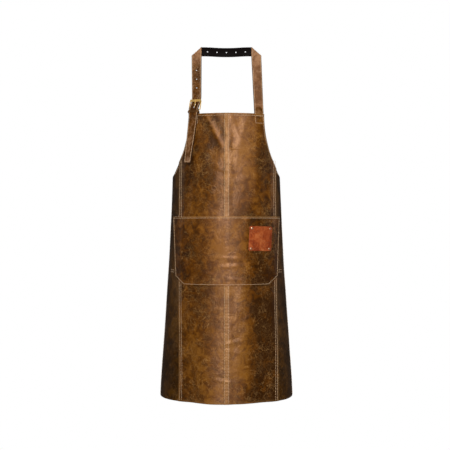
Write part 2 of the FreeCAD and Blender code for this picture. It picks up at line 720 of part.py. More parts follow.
def waist_side(side, outer_depth):
    """The strap from its sewn tab inside a side panel round to the flat run across the back."""
    bottom = level(size("waist_strap_drop")) - WAIST_WIDTH / 2
    tab = girth_inner.Shape.cut(waist_tab_back.Shape).common(Part.makeBox(
        waist_half, size("waist_tab") + waist_middle - size("side_edge_back"), WAIST_WIDTH,
        Vector(0 if side > 0 else -waist_half, size("side_edge_back") - size("waist_tab"), bottom)))
    flat = size("waist_flat_half")
    wide = waist_half - size("leather") - flat
    deep = size("waist_back_depth") - outer_depth
    plates = []
    for inset in (0, WAIST_LEATHER):
        block = Part.makeCylinder(1, WAIST_WIDTH)
        matrix = FreeCAD.Matrix()
        matrix.scale(wide - inset, deep - inset, 1)
        block = block.transformGeometry(matrix)
        block.translate(Vector(side * flat, waist_middle, bottom))
        plates.append(block)
    quarter = Part.makeBox(
        2 * wide, 2 * deep, WAIST_WIDTH,
        Vector(side * flat if side > 0 else -flat - 2 * wide, waist_middle, bottom))
    return tab.fuse(plates[0].cut(plates[1]).common(quarter))


def waist_run(path):
    run = ribbon(path, WAIST_LEATHER, WAIST_WIDTH)
    run.Placement = waist_frame
    return run


far_run = size("waist_flat_half") - HEEL_SIDE
near_run = size("waist_flat_half") + HEEL_SIDE
right_run = waist_run([
    (far_run, waist_behind), (size("waist_reach") - WAIST_BAR, waist_behind),
    (waist_chape, waist_over), (-size("waist_tail_start") + size("fit"), waist_over)])
waist_punches = []
for i in range(4):
    at = size("waist_reach") * (1.9 + i)
    punch = Part.makeCylinder(size("hole") * 0.4, 60, Vector(0, -30, at), Vector(0, 1, 0))
    punch.Placement = waist_frame
    waist_punches.append(punch)
waist_slot = prong_slot(size("hole") * 0.8, WAIST_BAR, size("waist_reach") - WAIST_BAR / 2, 30)
waist_slot.Placement = waist_frame
waist_strap_right = keep(
    shaped("waist_strap_right", waist_side(1, waist_behind).fuse(right_run).cut(waist_punches + [waist_slot])),
    "waist_strap_right")
anchor = chape(
    WAIST_BAR, size("leather"), WAIST_WIDTH - 2 * size("chape_inset"), 4 * WAIST_LEATHER + WAIST_BAR)
anchor.Placement = waist_frame
left_run = waist_run([(-2 * WAIST_LEATHER - WAIST_BAR, -WAIST_LEATHER / 2), (-near_run, -WAIST_LEATHER / 2)])
waist_strap_left = keep(
    shaped("waist_strap_left", waist_side(-1, -WAIST_LEATHER / 2).multiFuse([left_run, anchor])),
    "waist_strap_left")
waist_tail = keep(
    shaped("waist_tail", ribbon(
        [(-size("waist_tail_start"), waist_over), (-size("waist_tail_end"), waist_over)],
        WAIST_LEATHER, WAIST_WIDTH), waist_frame),
    "waist_tail")
waist_buckle_frame = keep(
    shaped("waist_buckle_frame", bar_ring(
        WAIST_WIDTH + size("waist_buckle_room"), size("waist_reach"), WAIST_BAR), waist_frame),
    "waist_buckle_frame")
waist_buckle_prong = keep(
    shaped("waist_buckle_prong", prong_shape(WAIST_BAR, size("waist_reach"), size("fit")), waist_frame),
    "waist_buckle_prong")
waist_keeper = keep(
    shaped("waist_keeper", keeper_ring(
        WAIST_WIDTH + 2 * size("fit"), waist_over - size("fit"), WAIST_LEATHER / 2 + size("fit"),
        size("waist_keeper_band"), size("keeper_leather"), -size("waist_keeper_at")), waist_frame),
    "waist_keeper")


# ---- checks and export ------------------------------------------------------------------------------

doc.recompute()
for item in doc.Objects:
    if "Invalid" in item.State or "Error" in item.State:
        raise RuntimeError(f"{item.Label} did not compute: {item.State}")
for item in SUB_PARTS:
    if item.Shape.isNull() or not item.Shape.isValid():
        raise RuntimeError(f"{item.Label} has no valid shape")
    print(item.Label, len(item.Shape.Solids), round(item.Shape.Volume))

os.makedirs("parts", exist_ok=True)
for item in SUB_PARTS:
    item.Shape.exportStep(f"parts/{item.Label}.step")
print(len(SUB_PARTS), "sub-parts written")
print("heel bar", neck_frame.Base, "axis", LEFT_ACROSS)
print("waist heel", waist_frame.Base)
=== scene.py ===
import math
import bpy
import numpy as np
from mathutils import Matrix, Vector


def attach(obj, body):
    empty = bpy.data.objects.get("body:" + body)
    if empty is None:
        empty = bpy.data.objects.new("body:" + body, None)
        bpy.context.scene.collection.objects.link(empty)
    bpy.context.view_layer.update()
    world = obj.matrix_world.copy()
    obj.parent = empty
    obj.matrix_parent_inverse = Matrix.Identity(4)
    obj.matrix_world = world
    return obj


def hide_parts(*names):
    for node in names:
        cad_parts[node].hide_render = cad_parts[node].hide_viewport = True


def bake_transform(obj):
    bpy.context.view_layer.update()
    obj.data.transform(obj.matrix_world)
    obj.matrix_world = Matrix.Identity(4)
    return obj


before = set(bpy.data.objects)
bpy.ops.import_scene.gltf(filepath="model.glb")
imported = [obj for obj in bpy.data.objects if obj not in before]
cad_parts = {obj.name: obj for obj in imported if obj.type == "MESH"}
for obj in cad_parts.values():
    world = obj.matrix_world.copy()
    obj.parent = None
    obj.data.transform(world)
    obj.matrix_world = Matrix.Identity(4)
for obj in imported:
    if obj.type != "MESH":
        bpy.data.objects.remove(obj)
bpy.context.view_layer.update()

# ---- Studio -------------------------------------------------------------------------------------
# The apron hangs by its neck band in front of a white background.  A tall soft box a little right
# of the camera gives it a soft upright shine; weaker boxes light its sides and back.

bpy.context.scene.view_settings.view_transform = "Standard"
MIDDLE_HEIGHT = -0.4917
CAMERA_DISTANCE = 2.808
lens_camera = bpy.data.cameras.new("camera")
lens_camera.lens = 76.9
lens_camera.sensor_width = 36.0
camera = bpy.data.objects.new("camera", lens_camera)
camera.location = (-0.0042, -CAMERA_DISTANCE, MIDDLE_HEIGHT)
camera.rotation_euler = (math.radians(90), 0, 0)
bpy.context.scene.collection.objects.link(camera)
bpy.context.scene.camera = camera


def soft_box(name, place, width, height, power):
    lamp = bpy.data.lights.new(name, "AREA")
    lamp.shape = "RECTANGLE"
    lamp.size = width
    lamp.size_y = height
    lamp.energy = power
    box = bpy.data.objects.new(name, lamp)
    box.location = place
    aim = Vector((0, 0, MIDDLE_HEIGHT)) - Vector(place)
    box.rotation_euler = aim.to_track_quat("-Z", "Y").to_euler()
    bpy.context.scene.collection.objects.link(box)


soft_box("key_box", (0.24, -2.7, 0.25), 0.50, 2.0, 68)
soft_box("fill_box", (-1.3, -2.3, 1.1), 0.6, 0.9, 4)
soft_box("left_box", (-2.8, 0.4, 0.1), 0.9, 1.8, 4)
soft_box("right_box", (2.8, 0.7, 0.1), 0.9, 1.8, 4)
soft_box("back_box", (-0.5, 2.3, 1.6), 2.0, 1.4, 80)

sky = bpy.data.worlds.new("white_sky")
sky.use_nodes = True
bpy.context.scene.world = sky


def wire(source, output, target, entry):
    """Joins an output of one shader node to an entry of another."""
    source.id_data.links.new(source.outputs[output], target.inputs[entry])


def place_node(tree, kind, settings=None, **values):
    """A shader node with its settings and its sockets' values, named by their labels."""
    node = tree.nodes.new(kind)
    for key, value in (settings or {}).items():
        setattr(node, key, value)
    for key, value in values.items():
        node.inputs[key.replace("_", " ")].default_value = value
    return node


sky_tree = sky.node_tree
white = sky_tree.nodes["Background"]
white.inputs["Color"].default_value = (1, 1, 1, 1)
seen = place_node(sky_tree, "ShaderNodeLightPath")
brightness = place_node(sky_tree, "ShaderNodeMapRange", To_Min=0.06, To_Max=1.0)
wire(seen, "Is Camera Ray", brightness, "Value")
wire(brightness, "Result", white, "Strength")


# ---- Front panels -------------------------------------------------------------------------------
# Two halves of waxed pull-up cowhide, cut to the bib and skirt outline.  The right half laps over
# the left one down the middle, and both are sewn there with two rows of waxed thread.

TOP = -0.175
LEATHER = 0.002
HEM = 0.821
STATION_DROP = [0.0, 0.177, 0.420, 0.821]
STATION_HALF = [0.158, 0.1585, 0.1685, 0.197]
STATION_DEPTH = [0.110, 0.144, 0.150, 0.170]
STATION_CENTRE = [0.014, 0.038, 0.048, 0.062]
BIB_TOP_HALF = 0.1076
UNDERARM_DROP = 0.177
ARMHOLE_FLARE = 0.0494
ARMHOLE_RADIUS = (ARMHOLE_FLARE ** 2 + UNDERARM_DROP ** 2) / (2 * ARMHOLE_FLARE)
SEAM_TOP_HALF = 0.132
SEAM_HEM_HALF = 0.136
SEAM_START = math.sqrt(ARMHOLE_RADIUS ** 2 - (ARMHOLE_RADIUS - SEAM_TOP_HALF + BIB_TOP_HALF) ** 2)
LAP = 0.0075
SEAM_SHIFT = 0.0040
SIDE_BACK = 0.047
MIDDLE_EASE = (0.006, 0.022)
SIDE_EASE = (0.024, 0.009)
BESIDE = 0.010
HANDS = ((-1, "left"), (1, "right"))


def step(value, start, end):
    """Smooth 0 to 1 between start and end."""
    share = np.clip((value - start) / (end - start), 0, 1)
    return share * share * (3 - 2 * share)


def girth(drop):
    """Half width, depth and centre of the body's section at a drop below the bib's top edge."""
    levels = np.asarray(drop, float)[..., None] + np.linspace(-0.05, 0.05, 9)
    stations = (STATION_HALF, STATION_DEPTH, STATION_CENTRE)
    return [np.interp(levels, STATION_DROP, row).mean(-1) for row in stations]


def ridge(x, drop, start, end, width, height, rolled=0.0):
    """A crease along a line on the leather; rolled makes one side of it sink and the other rise."""
    run = np.subtract(end, start)
    length = float(np.hypot(*run))
    along = ((x - start[0]) * run[0] + (drop - start[1]) * run[1]) / length
    away = ((drop - start[1]) * run[0] - (x - start[0]) * run[1]) / length / width
    fade_ends = step(along, -0.3 * length, 0.25 * length) * (1 - step(along, 0.75 * length, 1.3 * length))
    return height * fade_ends * np.exp(-away * away) * ((1 - rolled) + rolled * 1.6 * away)


def hanging_folds(x, drop):
    """How far the hide stands in or out of its smooth shape: folds, creases and slack."""
    turn = x / 0.165
    shape = 0.0016 * np.sin(2.4 * turn + 9 * drop + 0.5) + 0.0010 * np.sin(5.2 * turn - 14 * drop + 1.1)
    shape = shape + 0.0006 * np.sin(31 * drop + 7 * turn) * np.sin(17 * turn + 11 * drop + 0.4)
    skirt = step(drop, 0.46, 0.80)
    shape = shape + skirt * (0.0042 * np.cos(5.4 * turn + 0.55) + 0.0018 * np.cos(9.5 * turn - 4 * drop))
    for start, end, width, height, rolled in (
            ((0.010, 0.1045), (0.074, 0.1015), 0.0050, 0.0017, 1.0),
            ((-0.052, 0.010), (-0.014, 0.088), 0.008, 0.0024, 0.0),
            ((0.012, 0.004), (0.034, 0.070), 0.008, 0.0014, 0.2),
            ((0.058, 0.020), (0.040, 0.085), 0.009, 0.0014, 0.2),
            ((-0.060, 0.130), (0.020, 0.168), 0.012, 0.0013, 0.5),
            ((0.020, 0.190), (0.095, 0.168), 0.011, 0.0014, 0.6),
            ((-0.110, 0.220), (-0.050, 0.255), 0.010, 0.0011, 0.5),
            ((0.060, 0.075), (0.100, 0.120), 0.009, 0.0012, 0.6),
            ((-0.075, 0.560), (-0.012, 0.548), 0.008, 0.0012, 0.6),
            ((-0.020, 0.652), (0.034, 0.640), 0.0065, 0.0016, 0.7),
            ((0.006, 0.668), (0.060, 0.676), 0.0075, 0.0012, 0.7),
            ((-0.030, 0.748), (0.020, 0.756), 0.0065, 0.0014, 0.7),
            ((-0.110, 0.700), (-0.060, 0.640), 0.012, 0.0018, 0.4),
            ((0.070, 0.600), (0.120, 0.690), 0.013, 0.0018, 0.4)):
        shape = shape + ridge(x, drop, start, end, width, height, rolled)
    return shape


def seam_half(drop, side):
    """Distance of a side seam from the middle, seen from the front; both sit a little to the right."""
    return SEAM_TOP_HALF + (SEAM_HEM_HALF - SEAM_TOP_HALF) * drop / HEM + SEAM_SHIFT * side


def armhole_half(drop):
    """Half width of the apron where the armhole curve bounds it."""
    inner = np.clip(drop, 0, UNDERARM_DROP)
    return BIB_TOP_HALF + ARMHOLE_RADIUS - np.sqrt(ARMHOLE_RADIUS ** 2 - inner ** 2)


def puckers(x, drop):
    """The small gathers that the stitching pulls up beside the three seams."""
    pitch = 0.0085
    from_side = np.abs(x) - seam_half(drop, np.sign(x))
    beside = np.exp(-(x / BESIDE) ** 2) + 0.7 * np.exp(-(from_side / BESIDE) ** 2)
    wave = np.sin(2 * math.pi * drop / pitch + 2.0 * np.sin(37 * drop))
    return 0.00035 * beside * wave * (0.5 + 0.5 * step(drop, 0.4, 0.6))


def on_apron(turn, drop, out=0.0):
    """Points on the apron's outer face, and the outward directions, at an angle and a drop."""
    turn, drop = np.broadcast_arrays(np.asarray(turn, float), np.asarray(drop, float))
    half, depth, centre = girth(drop)
    x = half * np.sin(turn)
    y = centre - depth * np.cos(turn)
    outward = np.stack([x / half ** 2, (y - centre) / depth ** 2, np.zeros_like(x)], -1)
    outward /= np.linalg.norm(outward, axis=-1, keepdims=True)
    settle = 0.35 + 0.65 * np.clip(np.cos(turn), 0, 1)
    lift = (hanging_folds(x, drop) * settle + puckers(x, drop) + out)[..., None]
    return np.stack([x, y, TOP - drop], -1) + outward * lift, outward


def turn_at(x, drop):
    """Angle round the body of a point that the front view shows at x."""
    half = girth(drop)[0]
    return np.arcsin(np.clip(x / half, -0.999, 0.999))


def spaced(count, edge):
    """Places 0 to 1, with extra ones close to both ends so that cut edges can be rounded."""
    inner = np.linspace(0, 1, count)[1:-1]
    inner = inner[(inner > 2.2 * edge) & (inner < 1 - 2.2 * edge)]
    return np.concatenate([[0, edge * 0.35, edge], inner, [1 - edge, 1 - edge * 0.35, 1]])


def surface_normals(grid):
    down = np.gradient(grid, axis=0)
    across = np.gradient(grid, axis=1)
    normal = np.cross(down, across)
    return normal / np.maximum(np.linalg.norm(normal, axis=-1, keepdims=True), 1e-12)


def make_piece(name, points, faces, finishes, kinds=None, sharp=None):
    """A smooth mesh object; kinds picks each face's finish, sharp is the angle kept as an edge."""
    mesh = bpy.data.meshes.new(name)
    mesh.from_pydata(points, [], faces)
    if kinds is not None:
        mesh.polygons.foreach_set("material_index", np.asarray(kinds, np.int32))
    mesh.polygons.foreach_set("use_smooth", np.ones(len(faces), bool))
    for finish in finishes:
        mesh.materials.append(finish)
    if sharp is not None:
        mesh.set_sharp_from_angle(angle=math.radians(sharp))
    piece = bpy.data.objects.new(name, mesh)
    bpy.context.scene.collection.objects.link(piece)
    return piece


def tone_layer(mesh, label, values):
    """One value for every point of a mesh, for its finish to read."""
    layer = mesh.attributes.new(label, "FLOAT", "POINT")
    layer.data.foreach_set("value", values.astype(np.float32))


def hide_piece(name, grid, outward, thickness, finishes, rub=None, painted_light_and_tone=None):
    """A cut piece of leather: its grain face is the grid, with a flesh side and rounded cut edges."""
    rows, cols = grid.shape[:2]
    normal = surface_normals(grid)
    if (normal * outward).sum() < 0:
        normal = -normal
    ring = np.zeros((rows, cols))
    ring[[0, -1], :] = 1
    ring[:, [0, -1]] = 1
    near = np.zeros((rows, cols))
    near[[1, -2], :] = 1
    near[:, [1, -2]] = 1
    drop_in = thickness * (0.38 * ring + 0.10 * near * (1 - ring))
    face = grid - normal * drop_in[..., None]
    back = grid - normal * (thickness - 0.6 * drop_in)[..., None]
    points = np.concatenate([face.reshape(-1, 3), back.reshape(-1, 3)])
    index = np.arange(rows * cols).reshape(rows, cols)
    quads = np.stack([index[:-1, :-1], index[1:, :-1], index[1:, 1:], index[:-1, 1:]], -1).reshape(-1, 4)
    under = quads[:, ::-1] + rows * cols
    loop = np.concatenate([index[0, :-1], index[:-1, -1], index[-1, :0:-1], index[:0:-1, 0]])
    following = np.roll(loop, -1)
    walls = np.stack([loop, following, following + rows * cols, loop + rows * cols], -1)
    first = quads[len(quads) // 2]
    facing = np.cross(points[first[1]] - points[first[0]], points[first[2]] - points[first[0]])
    faces = np.concatenate([quads, under, walls])
    if facing @ normal.reshape(-1, 3)[first[0]] < 0:
        faces = faces[:, ::-1]
    kinds = np.repeat([0, 1, 2], [len(quads), len(under), len(walls)])
    piece = make_piece(name, points.tolist(), faces.tolist(), finishes, kinds, sharp=55)
    # The second layer carries painted sheen and painted shade to the finish.
    for label, values in (("rub", rub), ("painted_light_and_tone", painted_light_and_tone)):
        values = np.zeros(rows * cols) if values is None else values.ravel()
        tone_layer(piece.data, label, np.tile(values, 2))
    return piece


def shader_group(name, takes, gives):
    """An empty shader node group with named sockets."""
    group = bpy.data.node_groups.new(name, "ShaderNodeTree")
    for label, kind, value in takes:
        socket = group.interface.new_socket(label, in_out="INPUT", socket_type=kind)
        if value is not None:
            socket.default_value = value
    for label, kind in gives:
        group.interface.new_socket(label, in_out="OUTPUT", socket_type=kind)
    return group, group.nodes.new("NodeGroupInput"), group.nodes.new("NodeGroupOutput")


def waxed_hide_group():
    """Tone, veins and grain of pull-up leather: cloudy wax, pale cracks, fine pebbled skin."""
    group, given, result = shader_group(
        "waxed_hide",
        [("Vector", "NodeSocketVector", None), ("Cloud Scale", "NodeSocketFloat", 7.0),
         ("Vein Scale", "NodeSocketFloat", 95.0), ("Grain Scale", "NodeSocketFloat", 620.0)],
        [("Tone", "NodeSocketFloat"), ("Vein", "NodeSocketFloat"), ("Grain", "NodeSocketFloat"),
         ("Crumple", "NodeSocketFloat")])
    clouds = place_node(group, "ShaderNodeTexNoise", Detail=4.0, Roughness=0.6, Distortion=0.4)
    wire(given, "Vector", clouds, "Vector")
    wire(given, "Cloud Scale", clouds, "Scale")
    blotches = place_node(group, "ShaderNodeTexNoise", Scale=46.0, Detail=6.0, Roughness=0.68, Distortion=0.9)
    wire(given, "Vector", blotches, "Vector")
    tone = place_node(group, "ShaderNodeMix", {"data_type": "FLOAT"}, Factor=0.55)
    wire(clouds, "Fac", tone, "A")
    wire(blotches, "Fac", tone, "B")
    spread = place_node(group, "ShaderNodeMapRange", {"interpolation_type": "SMOOTHSTEP"},
                        From_Min=0.36, From_Max=0.66)
    wire(tone, "Result", spread, "Value")
    wire(spread, "Result", result, "Tone")
    wander = place_node(group, "ShaderNodeTexNoise", Scale=40.0, Detail=3.0, Roughness=0.6)
    wire(given, "Vector", wander, "Vector")
    bent = place_node(group, "ShaderNodeVectorMath", {"operation": "MULTIPLY_ADD"})
    bent.inputs[1].default_value = (0.009, 0.009, 0.009)
    wire(wander, "Color", bent, 0)
    wire(given, "Vector", bent, 2)
    vein = None
    for kind, scale, width, start, end, share in (
            ("cells", 1.0, 0.034, 0.46, 0.64, 0.75),
            ("cells", 1.9, 0.050, 0.46, 0.66, 0.5),
            ("ridge", 0.30, 0.010, 0.40, 0.58, 0.8)):
        size = place_node(group, "ShaderNodeMath", {"operation": "MULTIPLY"})
        size.inputs[1].default_value = scale
        wire(given, "Vein Scale", size, 0)
        if kind == "cells":
            lines = place_node(group, "ShaderNodeTexVoronoi", {"feature": "DISTANCE_TO_EDGE"})
            wire(bent, "Vector", lines, "Vector")
            wire(size, "Value", lines, "Scale")
            away, measure = lines, "Distance"
        else:
            lines = place_node(group, "ShaderNodeTexNoise", Detail=5.0, Roughness=0.55, Distortion=1.4)
            wire(given, "Vector", lines, "Vector")
            wire(size, "Value", lines, "Scale")
            level = place_node(group, "ShaderNodeMath", {"operation": "SUBTRACT"})
            level.inputs[1].default_value = 0.5
            wire(lines, "Fac", level, 0)
            folded = place_node(group, "ShaderNodeMath", {"operation": "ABSOLUTE"})
            wire(level, "Value", folded, 0)
            away, measure = folded, "Value"
        cracks = place_node(group, "ShaderNodeMapRange", From_Min=0.0, From_Max=width,
                            To_Min=share, To_Max=0.0)
        wire(away, measure, cracks, "Value")
        patches = place_node(group, "ShaderNodeTexNoise", Scale=13.0 + 9.0 * scale, Detail=4.0)
        wire(given, "Vector", patches, "Vector")
        where = place_node(group, "ShaderNodeMapRange", From_Min=start, From_Max=end)
        wire(patches, "Fac", where, "Value")
        part = place_node(group, "ShaderNodeMath", {"operation": "MULTIPLY"})
        wire(cracks, "Result", part, 0)
        wire(where, "Result", part, 1)
        if vein is None:
            vein = part
        else:
            both = place_node(group, "ShaderNodeMath", {"operation": "MAXIMUM"})
            wire(vein, "Value", both, 0)
            wire(part, "Value", both, 1)
            vein = both
    wire(vein, "Value", result, "Vein")
    pebbles = place_node(group, "ShaderNodeTexVoronoi", {"feature": "SMOOTH_F1"}, Smoothness=0.35)
    wire(given, "Vector", pebbles, "Vector")
    wire(given, "Grain Scale", pebbles, "Scale")
    wire(pebbles, "Distance", result, "Grain")
    crumple = place_node(group, "ShaderNodeTexNoise", Scale=24.0, Detail=5.0, Roughness=0.62, Distortion=1.2)
    wire(given, "Vector", crumple, "Vector")
    wire(crumple, "Fac", result, "Crumple")
    return group


waxed_hide = waxed_hide_group()


def new_finish(name, **values):
    """A material, its node tree and its surface, whose sockets are set by their labels."""
    finish = bpy.data.materials.new(name)
    finish.use_nodes = True
    surface = finish.node_tree.nodes["Principled BSDF"]
    for key, value in values.items():
        surface.inputs[key.replace("_", " ")].default_value = value
    return finish, finish.node_tree, surface


def colour_mix(tree, first, second):
    """A mix of two colours, the first at 0 and the second at 1."""
    mix = place_node(tree, "ShaderNodeMix", {"data_type": "RGBA"})
    mix.inputs["A"].default_value = (*first, 1)
    mix.inputs["B"].default_value = (*second, 1)
    return mix


def leather_finish(name, deep, body, pale, crack, roughness=0.34, cloud_scale=7.0,
                   shift=(0, 0, 0), crumple=0.0030, shine=(1.0, 0.60, 0.38)):
    """Grain-side leather: tone clouds from deep to body to pale, pushed by a point layer of painted sheen and
    painted shade, a pinkish painted sheen, pale cracks and rubbed places.
    """
    finish, tree, surface = new_finish(name, Specular_IOR_Level=0.5, Specular_Tint=(*shine, 1))
    coordinates = place_node(tree, "ShaderNodeTexCoord")
    moved = place_node(tree, "ShaderNodeMapping", Location=shift)
    wire(coordinates, "Object", moved, "Vector")
    hide = place_node(tree, "ShaderNodeGroup", {"node_tree": waxed_hide}, Cloud_Scale=cloud_scale)
    wire(moved, "Vector", hide, "Vector")
    tint = place_node(tree, "ShaderNodeValToRGB")
    tint.color_ramp.elements[0].color = (*deep, 1)
    tint.color_ramp.elements[1].color = (*pale, 1)
    tint.color_ramp.elements.new(0.5).color = (*body, 1)
    # A point layer of painted sheen and painted shade pushes the tone along the colour ramp.
    painted_light_and_tone = place_node(tree, "ShaderNodeAttribute", {"attribute_name": "painted_light_and_tone"})
    tone_with_painted_light = place_node(tree, "ShaderNodeMath", {"operation": "ADD", "use_clamp": True})
    wire(hide, "Tone", tone_with_painted_light, 0)
    wire(painted_light_and_tone, "Fac", tone_with_painted_light, 1)
    wire(tone_with_painted_light, "Value", tint, "Fac")
    # Pinkish painted sheen, mixed in by that layer times the crumple noise.
    painted_sheen_mix = colour_mix(tree, deep, (0.44, 0.24, 0.165))
    painted_sheen_share = place_node(tree, "ShaderNodeMath", {"operation": "MULTIPLY"})
    wire(painted_light_and_tone, "Fac", painted_sheen_share, 0)
    wire(hide, "Crumple", painted_sheen_share, 1)
    wire(painted_sheen_share, "Value", painted_sheen_mix, "Factor")
    wire(tint, "Color", painted_sheen_mix, "A")
    cracked = colour_mix(tree, deep, crack)
    crack_share = place_node(tree, "ShaderNodeMath", {"operation": "MULTIPLY"})
    crack_share.inputs[1].default_value = 0.8
    wire(hide, "Vein", crack_share, 0)
    wire(crack_share, "Value", cracked, "Factor")
    wire(painted_sheen_mix, "Result", cracked, "A")
    rub = place_node(tree, "ShaderNodeAttribute", {"attribute_name": "rub"})
    rubbed = colour_mix(tree, deep, crack)
    rub_share = place_node(tree, "ShaderNodeMath", {"operation": "MULTIPLY"})
    wire(rub, "Fac", rub_share, 0)
    wire(hide, "Crumple", rub_share, 1)
    wire(rub_share, "Value", rubbed, "Factor")
    wire(cracked, "Result", rubbed, "A")
    wire(rubbed, "Result", surface, "Base Color")
    gloss = place_node(tree, "ShaderNodeMapRange", To_Min=roughness + 0.10, To_Max=roughness - 0.07)
    wire(hide, "Tone", gloss, "Value")
    wire(gloss, "Result", surface, "Roughness")
    soft = place_node(tree, "ShaderNodeBump", Strength=0.75, Distance=crumple)
    wire(hide, "Crumple", soft, "Height")
    fine = place_node(tree, "ShaderNodeBump", Strength=0.35, Distance=0.00025)
    wire(hide, "Grain", fine, "Height")
    wire(soft, "Normal", fine, "Normal")
    wire(fine, "Normal", surface, "Normal")
    return finish


def napped_finish(name, colour, other, roughness=0.9, fuzziness=0.12):
    """Flesh side or cut edge of leather: short matt nap with a little mottling."""
    finish, tree, surface = new_finish(
        name, Roughness=roughness, Sheen_Weight=fuzziness, Specular_IOR_Level=0.10)
    coordinates = place_node(tree, "ShaderNodeTexCoord")
    nap = place_node(tree, "ShaderNodeTexNoise", Scale=260.0, Detail=6.0, Roughness=0.75)
    tint = colour_mix(tree, colour, other)
    fuzz = place_node(tree, "ShaderNodeBump", Strength=0.5, Distance=0.0004)
    wire(coordinates, "Object", nap, "Vector")
    wire(nap, "Fac", tint, "Factor")
    wire(nap, "Fac", fuzz, "Height")
    wire(tint, "Result", surface, "Base Color")
    wire(fuzz, "Normal", surface, "Normal")
    return finish


flesh_side = napped_finish("flesh_side", (0.15, 0.078, 0.036), (0.30, 0.18, 0.095))
dark_edge = napped_finish("dark_cut_edge", (0.012, 0.007, 0.004), (0.035, 0.018, 0.008), 0.6, 0.0)
front_leather = leather_finish(
    "front_leather", (0.040, 0.0115, 0.0006), (0.135, 0.041, 0.0022), (0.285, 0.108, 0.012),
    (0.56, 0.30, 0.10))


def worn_places(x, drop, edges):
    """Where pull-up leather shows pale: bends, seams and cut edges."""
    slack = hanging_folds(x, drop)
    bend = np.abs(np.gradient(np.gradient(slack, axis=0), axis=0)) if slack.ndim > 1 else 0
    bend = bend / max(float(np.max(bend)), 1e-9)
    return np.clip(0.12 * np.sqrt(bend) + 0.9 * edges, 0, 1)


def painted_sheen_and_shade(x, drop):
    """Painted light on the hide: painted shade on the right of the pocket and skirt, along the bib's sides,
    over the bib's left half and down the far left, and a painted sheen over the bib's right half and down the
    middle below it.
    """
    bib = 1 - step(drop, 0.20, 0.30)
    pale = 0.30 * bib * np.exp(-((x - 0.048 + 0.06 * drop) / 0.044) ** 2) * step(x, -0.004, 0.008)
    pale = pale + 0.30 * (1 - bib) * np.exp(-((x + 0.004) / 0.042) ** 2)
    dark = 0.50 * step(drop, 0.24, 0.32) * step(x, 0.050, 0.085)
    dark = dark + 0.22 * bib * step(np.abs(x), 0.075, 0.105)
    # Near the bib's top edge: painted highlights along two folds, with painted shade on both sides of the
    # first.
    streak = x + 0.058 - 0.52 * drop
    top = (1 - step(drop, 0.075, 0.115)) * step(drop, 0.0, 0.012)
    beside_seam = x - 0.010 - 0.30 * drop
    pale = pale + top * (
        0.45 * np.exp(-(streak / 0.006) ** 2) + 0.25 * np.exp(-(beside_seam / 0.006) ** 2))
    dark = dark + top * (
        0.35 * np.exp(-((streak + 0.019) / 0.010) ** 2) + 0.25 * np.exp(-((streak - 0.020) / 0.007) ** 2))
    return pale - dark - 0.12 * step(-x, 0.09, 0.13) - 0.12 * bib * step(-x, 0.015, 0.045)


def middle_lap(x):
    """How far the right half stands out where it passes over the left one."""
    return LEATHER * (1 - step(np.abs(x), *MIDDLE_EASE))


def front_panel(name, node, side):
    """Half of the apron's front: side -1 is the left half, under the lap; 1 the right half, over it."""
    drops = spaced(290, 0.0016) * HEM
    across = spaced(52, 0.011)
    outer = np.where(drops < SEAM_START, armhole_half(drops), seam_half(drops, side) + LAP)
    outer = np.where(drops < SEAM_START, outer, np.minimum(outer, armhole_half(drops)))
    inner = -LAP
    x = inner + (outer - inner)[:, None] * across[None, :]
    drop = np.repeat(drops[:, None], len(across), 1)
    seam = seam_half(drop, side)
    side_lap = LEATHER * step(x, seam - SIDE_EASE[0], seam - SIDE_EASE[1]) * step(drop, 0.10, 0.14)
    lap = LEATHER * (1 - step(x, *MIDDLE_EASE)) if side > 0 else np.zeros_like(x)
    x = x * side
    grid, outward = on_apron(turn_at(x, drop), drop, lap + side_lap + 0.00015)
    near_edge = np.exp(-(np.abs(x) / 0.006) ** 2) + np.exp(-((np.abs(x) - outer[:, None]) / 0.004) ** 2)
    near_edge = near_edge + np.exp(-(drop / 0.004) ** 2) + np.exp(-((HEM - drop) / 0.005) ** 2)
    # The last tone layer holds painted sheen and painted shade, with a paler strip added along the middle
    # seam.
    panel = hide_piece(
        name, grid, outward, LEATHER, [front_leather, flesh_side, dark_edge],
        worn_places(x, drop, 0.5 * near_edge), painted_sheen_and_shade(x, drop) + 0.15 * np.exp(-(x / 0.0055) ** 4))
    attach(panel, "apron")
    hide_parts(node)
    return panel


front_panel("left_front_hide", "front_panel_left", -1)
front_panel("right_front_hide", "front_panel_right", 1)


# ---- Side panels --------------------------------------------------------------------------------
# The same leather on each side, from the armhole to the hem, coloured darker as painted shade.  Each runs
# under the front panel's edge at the side seam and wraps back to a free edge beside the wearer's hip.

# The side leather is the front leather at about half its brightness: painted shade where the sides turn away.
side_leather = leather_finish(
    "side_leather", (0.020, 0.0065, 0.0003), (0.060, 0.021, 0.0010), (0.130, 0.052, 0.005),
    (0.28, 0.14, 0.05), cloud_scale=9.0, shift=(0.4, 0.2, 0.1), shine=(0.8, 0.5, 0.25))


def back_turn(drop):
    """Angle of the free back edge, easing out of the armhole curve at the underarm."""
    half, depth, centre = girth(drop)
    full = np.arccos(np.clip((centre - SIDE_BACK) / depth, -1, 1))
    armhole = np.arcsin(np.clip(armhole_half(drop) / half, 0, 0.999))
    return armhole + (full - armhole) * step(drop, UNDERARM_DROP - 0.010, UNDERARM_DROP + 0.016)


